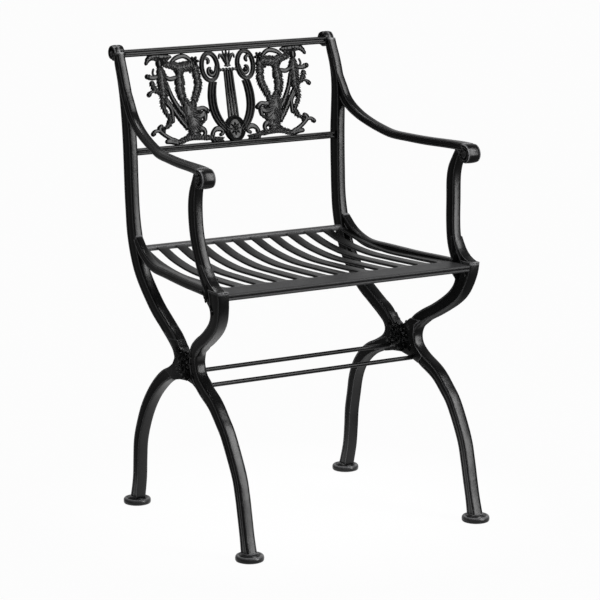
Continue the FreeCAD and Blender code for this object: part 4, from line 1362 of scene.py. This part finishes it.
@dataclass
class Openwork:
    """The arabesque beside the lyre: a plumed, winged figure, garlands, calyx and base scrolls."""

    panel: BackPanel
    fullness: float = 1.40
    leaf_pitch: float = 5.0

    @staticmethod
    def strokes() -> list[Stroke]:
        """The scroll lines of the right-hand half."""
        plain, beaded, feather, twisted = Relief.PLAIN, Relief.BEADED, Relief.FEATHER, Relief.TWISTED
        lines = (
            (feather, (169, 148, 4), (161, 159, 8), (148, 164, 8), (134, 162, 8), (122, 161, 6),
             (114, 159, 3)),
            (twisted, (141, 144, 9), (139, 128, 16), (139, 110, 16), (139, 94, 13), (141, 83, 10)),
            (plain, (143, 127, 7), (150, 125, 6), (158, 124, 6), (167, 127, 8)),
            (plain, (153, 141, 3), (156, 132, 3), (152, 126, 3)),
            (beaded, (161, 119, 7), (158, 108, 8), (153, 100, 6), (143, 95, 6)),
            (plain, (150, 99, 4), (156, 100, 4), (163, 99, 4), (169, 94, 8)),
            (twisted, (141, 85, 10), (143, 72, 7), (138, 59, 6), (131, 48, 6), (135, 37, 6), (145, 32, 4)),
            (plain, (137, 80, 7), (127, 66, 6), (126, 53, 6), (126, 40, 5)),
            (feather, (131, 116, 5), (125, 93, 7), (114, 70, 8), (97, 46, 8)),
            (feather, (137, 88, 6), (124, 67, 8), (112, 48, 8), (98, 29, 8)),
            (plain, (118, 149, 4), (106, 157, 6), (91, 160, 6), (80, 155, 6), (73, 146, 5)),
            (twisted, (134, 147, 7), (114, 144, 12), (104, 139, 15), (92, 140, 15), (79, 142, 13),
             (70, 144, 10)),
            (beaded, (101, 138, 10), (103, 115, 15), (104, 97, 14), (100, 82, 13), (90, 64, 16)),
            (beaded, (69, 143, 12), (67, 124, 12), (66, 105, 12), (73, 88, 11), (80, 73, 10), (82, 62, 8)),
            (plain, (135, 126, 6), (123, 120, 6), (113, 121, 6), (105, 122, 5)),
            (beaded, (96, 74, 12), (91, 58, 24), (84, 41, 25), (83, 24, 20), (84, 10, 12)),
            (plain, (80, 62, 7), (71, 62, 6), (61, 63, 6), (53, 57, 8)),
            (plain, (78, 48, 8), (69, 49, 8), (60, 52, 9), (60, 39, 5)),
            (plain, (148, 38, 5), (156, 31, 7), (149, 22, 6), (138, 14, 6), (122, 4, 8)),
            (plain, (152, 27, 4), (164, 28, 5), (170, 22, 8)),
            (plain, (147, 7, 5), (132, 8, 9), (119, 3, 8)),
            (twisted, (121, 4, 7), (114, 6, 8), (97, 11, 8), (76, 10, 6), (60, 8, 6), (46, 9, 7)),
            (plain, (50, 10, 6), (46, 18, 6), (39, 23, 7), (29, 22, 7), (26, 15, 5), (34, 11, 5)),
            (beaded, (53, 5, 8), (40, 4, 7), (28, 3, 6)),
            (plain, (78, 27, 7), (66, 25, 7), (63, 17, 6), (69, 11, 4)))
        slender, slender_thick = 3, 4.0
        made = []
        for relief, *places in lines:
            widest = max(width for _, _, width in places)
            made.append(Stroke(tuple(places), relief, slender_thick if widest <= slender else Stroke.thick))
        return made

    def cast(self, casting: Casting) -> None:
        """Build the right-hand half."""
        for stroke in self.strokes():
            wider = tuple((u, v, width * self.fullness) for u, v, width in stroke.stations)
            fuller = Stroke(wider, stroke.relief, stroke.thick)
            self.panel.vine(casting, fuller)
            if stroke.relief in (Relief.BEADED, Relief.TWISTED):
                self.panel.foliage(casting, fuller, self.leaf_pitch)
        self.lumps(casting)

    def lumps(self, casting: Casting) -> None:
        """The figure's head, the flowers, buds and leaves."""
        leaf = leaf_form(3, 0.30)
        bead = self.panel.bead
        for u, v, length, wide, out, *degrees in (
                (141, 149, 7.5, 8.5, 3.6), (146, 157, 8.0, 4.2, 3.2, 20.0), (133, 157, 8.0, 4.2, 3.2, 160.0),
                (168, 127, 5.0, 5.0, 3.4), (169, 94, 4.6, 4.6, 3.2), (170, 23, 4.6, 4.6, 3.2),
                (53, 57, 5.0, 5.0, 3.4), (60, 52, 5.2, 4.2, 3.2, 60.0)):
            bead(casting, u, v, length, wide, out, *degrees, shape=leaf if degrees else None)
        u, v, petals, reach = 68, 149, 6, 6.0
        for index in range(petals):
            turn = math.tau * index / petals
            bead(casting, u + reach * math.cos(turn), v + reach * math.sin(turn), 4.2, 3.0, 3.2,
                 math.degrees(turn))
        bead(casting, u, v, 3.4, 3.4, 3.8)
        for u, v, length, wide, degrees in (
                (99, 66, 12, 5, 120), (82, 66, 12, 5, 60), (97, 48, 13, 6, 140), (74, 46, 12, 5, 40),
                (93, 32, 12, 6, 150), (75, 30, 11, 5, 30), (90, 52, 14, 6, 90), (84, 30, 14, 6, 95),
                (131, 8, 10, 4, 10), (105, 10, 9, 4, 170), (40, 6, 9, 4, 170), (60, 12, 9, 4, 20),
                (101, 60, 12, 6, 62), (71, 54, 12, 6, 118), (104, 43, 11, 6, 35), (66, 37, 10, 5, 150),
                (86, 62, 12, 7, 90), (80, 18, 11, 6, 60), (96, 18, 11, 5, 130), (150, 158, 11, 5, 10),
                (128, 154, 11, 5, 165), (141, 141, 9, 6, 90), (112, 147, 11, 5, 175), (90, 146, 11, 5, 10),
                (78, 136, 9, 5, 100), (148, 31, 9, 5, 70), (137, 42, 8, 4, 110)):
            bead(casting, u, v, length, wide, 3.2, degrees, leaf)
        for u, v, pitch, aside, length, wide in ((139, 134, 10, 4, 7.5, 3.6), (103, 130, 12, 3.5, 7.0, 3.4)):
            for index in range(5):
                odd = index % 2
                bead(casting, u + (aside if odd else -aside), v - index * pitch, length, wide, 3.4,
                     60.0 + 60.0 * odd, leaf)

    def build(self) -> list[bpy.types.Object]:
        """Build both halves."""
        right = Casting("openwork_right")
        self.cast(right)
        return right.pair(Finish.CARVING, Slot.BACK, "back_ornament_right")


@dataclass
class Rails:
    """The reeded rails of the back and the two tie rods."""

    panel: BackPanel
    crest_depth: float = 13.0
    low_depth: float = 12.0
    rod: float = 8.0
    upper_rod: tuple[float, float] = (209.0, 276.0)
    lower_rod: tuple[float, float] = (142.0, 265.0)
    groove: float = 2.4

    def reeded_rail(self, name: str, node: str, y: float, z: float, depth: float, height: float,
                    reeds: int) -> bpy.types.Object:
        """A straight rail with reeds on its front and rear, and a collar at each end.

        Args:
            name: The piece's name.
            node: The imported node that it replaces.
            y: Its place in side view.
            z: Its height in the chair.
            depth: Its size from front to rear.
            height: Its size upwards.
            reeds: Reeds on each face.

        Returns:
            The new piece.
        """
        casting = Casting(name)
        reach = SPREAD.half(y, z) - 3.0
        outline = reeded(height, depth, reeds, self.groove)
        casting.sweep([[place(side * reach, y - t, z + w) for w, t in outline] for side in (-1.0, 1.0)])
        for side in (-1.0, 1.0):
            casting.turn(place(side * (reach - 5.5), y, z), Vector((side, 0, 0)),
                         [(along, height * share) for along, share in (
                             (-3.4, 0.0), (-3.4, 0.50), (-1.6, 0.60), (0.4, 0.62), (2.6, 0.66), (4.6, 0.66),
                             (4.6, 0.0))], steps=28)
        return casting.finish(Finish.RAIL, Slot.BACK, node)

    def tie_rod(self, name: str, node: str, y: float, z: float) -> bpy.types.Object:
        """A round rod between the crossings.

        Args:
            name: The piece's name.
            node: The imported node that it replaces.
            y: Its place in side view.
            z: Its height.

        Returns:
            The new piece.
        """
        casting = Casting(name)
        reach = SPREAD.half(y, z) - 5.0
        radius = self.rod / 2
        side = [(reach * share, radius) for share in (-1.0, -0.5, 0.0, 0.5, 1.0)]
        casting.turn(place(0, y, z), OUTWARD, [(-reach, 0.0), *side, (reach, 0.0)], steps=28)
        return casting.finish(Finish.ROD, Slot.TIE_ROD, node)

    def build(self) -> list[bpy.types.Object]:
        """Build the rails and rods."""
        crest, low = self.panel.crest, self.panel.low_rail
        return [
            self.reeded_rail("crest", "crest_rail", *crest, self.crest_depth, self.panel.crest_height, 2),
            self.reeded_rail("low_rail", "back_lower_rail", *low, self.low_depth, self.panel.low_height, 2),
            self.tie_rod("rod_upper", "tie_rod_upper", *self.upper_rod),
            self.tie_rod("rod_lower", "tie_rod_lower", *self.lower_rod),
        ]


# Studio


@dataclass
class Studio:
    """The pale floor, soft lamps, white surround and camera."""

    azimuth: float = -31.472
    elevation: float = 11.632
    eye: tuple[float, float, float] = (-2.5676, -4.2158, 1.4017)
    focal_pixels: float = 2820.0
    image: int = 600
    sensor: float = 36.0
    ambient: float = 0.45
    paper: float = 0.18
    far: float = 0.05
    backdrop: float = 0.6
    behind: tuple[float, float, float] = (0.52, 0.85, 0.0)
    rise: float = 0.96
    start: float = 0.36
    fade: float = 3.0
    floor_glow: float = 0.975
    floor_size: float = 30.0
    floor_drop: float = 0.0005
    lamps: tuple[tuple, ...] = (
        ("front_box", (1.35, -2.3, 1.28), (1.0, 2.3), 66.0),
        ("brow_box", (1.54, -1.65, 2.86), (1.1, 1.4), 44.0),
        ("top_box", (0.2, 0.9, 2.9), (0.8, 0.5), 14.0))

    def camera(self) -> bpy.types.Object:
        """The camera at the photograph's angle."""
        data = bpy.data.cameras.new("camera")
        data.sensor_width = self.sensor
        data.lens = self.focal_pixels / self.image * self.sensor
        data.clip_end = 100.0
        azimuth, elevation = math.radians(self.azimuth), math.radians(self.elevation)
        right = Vector((math.cos(azimuth), math.sin(azimuth), 0.0))
        back = Vector((math.sin(azimuth) * math.cos(elevation), -math.cos(azimuth) * math.cos(elevation),
                       math.sin(elevation)))
        rows = Matrix((right, back.cross(right), back)).transposed().to_4x4()
        camera = shown("camera", data)
        camera.matrix_world = Matrix.Translation(Vector(self.eye)) @ rows
        bpy.context.scene.camera = camera
        return camera

    def world(self) -> None:
        """White to the eye, dimmer as light, and in reflections a backdrop behind the chair alone."""
        world = bpy.data.worlds.new("surround")
        bpy.context.scene.world = world
        tree = Tree(world)
        way = tree.node("ShaderNodeTexCoord").outputs["Generated"]
        facing = tree.value("ShaderNodeVectorMath", "Value", {"operation": "DOT_PRODUCT"}, in0=way,
                            in1=self.behind)
        seen = self.seen(tree, (self.rise * facing - self.start).clamp(self.far, self.backdrop))
        level = seen.highest(self.ambient * (1.0 - self.mirrored(tree)))
        shine = tree.node("ShaderNodeBackground", {}, Color=WHITE, Strength=level)
        tree.node("ShaderNodeOutputWorld", {}, Surface=shine.outputs["Background"])

    @staticmethod
    def mirrored(tree: Tree) -> Socket:
        """1 for rays from reflections and through glass."""
        path = tree.node("ShaderNodeLightPath").outputs
        return Socket(tree, path["Is Glossy Ray"]).highest(path["Is Transmission Ray"])

    def seen(self, tree: Tree, reflected: Socket) -> Socket:
        """1 for rays from the eye, and the given level for rays from reflections and through glass."""
        return tree.value("ShaderNodeLightPath", "Is Camera Ray").highest(reflected * self.mirrored(tree))

    def floor(self) -> None:
        """A pale floor that keeps the chair's soft shadow."""
        mesh = bmesh.new()
        bmesh.ops.create_grid(mesh, x_segments=1, y_segments=1, size=self.floor_size)
        floor = shown("floor", baked(mesh, "floor"))
        floor.location.z = -self.floor_drop
        made = bpy.data.materials.new("pale_floor")
        tree = Tree(made)
        where = tree.node("ShaderNodeTexCoord").outputs["Object"]
        away = tree.value("ShaderNodeVectorMath", "Value", {"operation": "LENGTH"}, in0=where)
        near = (1.0 - self.fade * (away - self.paper)).clamp(self.far, 1.0)
        shade = tree.blend(near, (0.04, 0.04, 0.04, 1.0), (0.92, 0.92, 0.92, 1.0))
        cloth = tree.node("ShaderNodeBsdfDiffuse", {}, Color=shade)
        light = tree.node("ShaderNodeEmission", {}, Color=WHITE)
        blend = tree.node("ShaderNodeMixShader", {}, Fac=self.floor_glow * self.seen(tree, near),
                          in1=cloth.outputs["BSDF"], in2=light.outputs["Emission"])
        tree.node("ShaderNodeOutputMaterial", {}, Surface=blend.outputs["Shader"])
        floor.data.materials.append(made)

    @staticmethod
    def lamp(name: str, spot: tuple[float, float, float], size: tuple[float, float], power: float) -> None:
        """One soft box that looks at the chair.

        Args:
            name: The lamp's name.
            spot: Where it hangs, in metres.
            size: Its width and height.
            power: Its power in watts.
        """
        data = bpy.data.lights.new(name, "AREA")
        data.shape = "RECTANGLE"
        data.size, data.size_y = size
        data.energy = power
        lamp = shown(name, data)
        lamp.location = spot
        aim = Vector((0.0, 0.0, 0.45)) - Vector(spot)
        lamp.rotation_euler = aim.to_track_quat("-Z", "Y").to_euler()

    def build(self) -> None:
        """Set the whole studio."""
        self.camera()
        self.world()
        self.floor()
        for lamp in self.lamps:
            self.lamp(*lamp)
        bpy.context.scene.view_settings.view_transform = "Standard"


def main() -> None:
    """Build the chair's parts in order and report each piece."""
    logging.basicConfig(level=logging.INFO, format="%(name)s: %(message)s")
    Studio().build()
    panel = BackPanel()
    pieces = [*SideFrame().build(), *Seat().build(), *Rails(panel).build(), *Lyre(panel).build(),
              *Openwork(panel).build()]
    for piece in pieces:
        LOG.info("%s rides on %s", piece.name, ROOT)


if __name__ == "__main__":
    main()
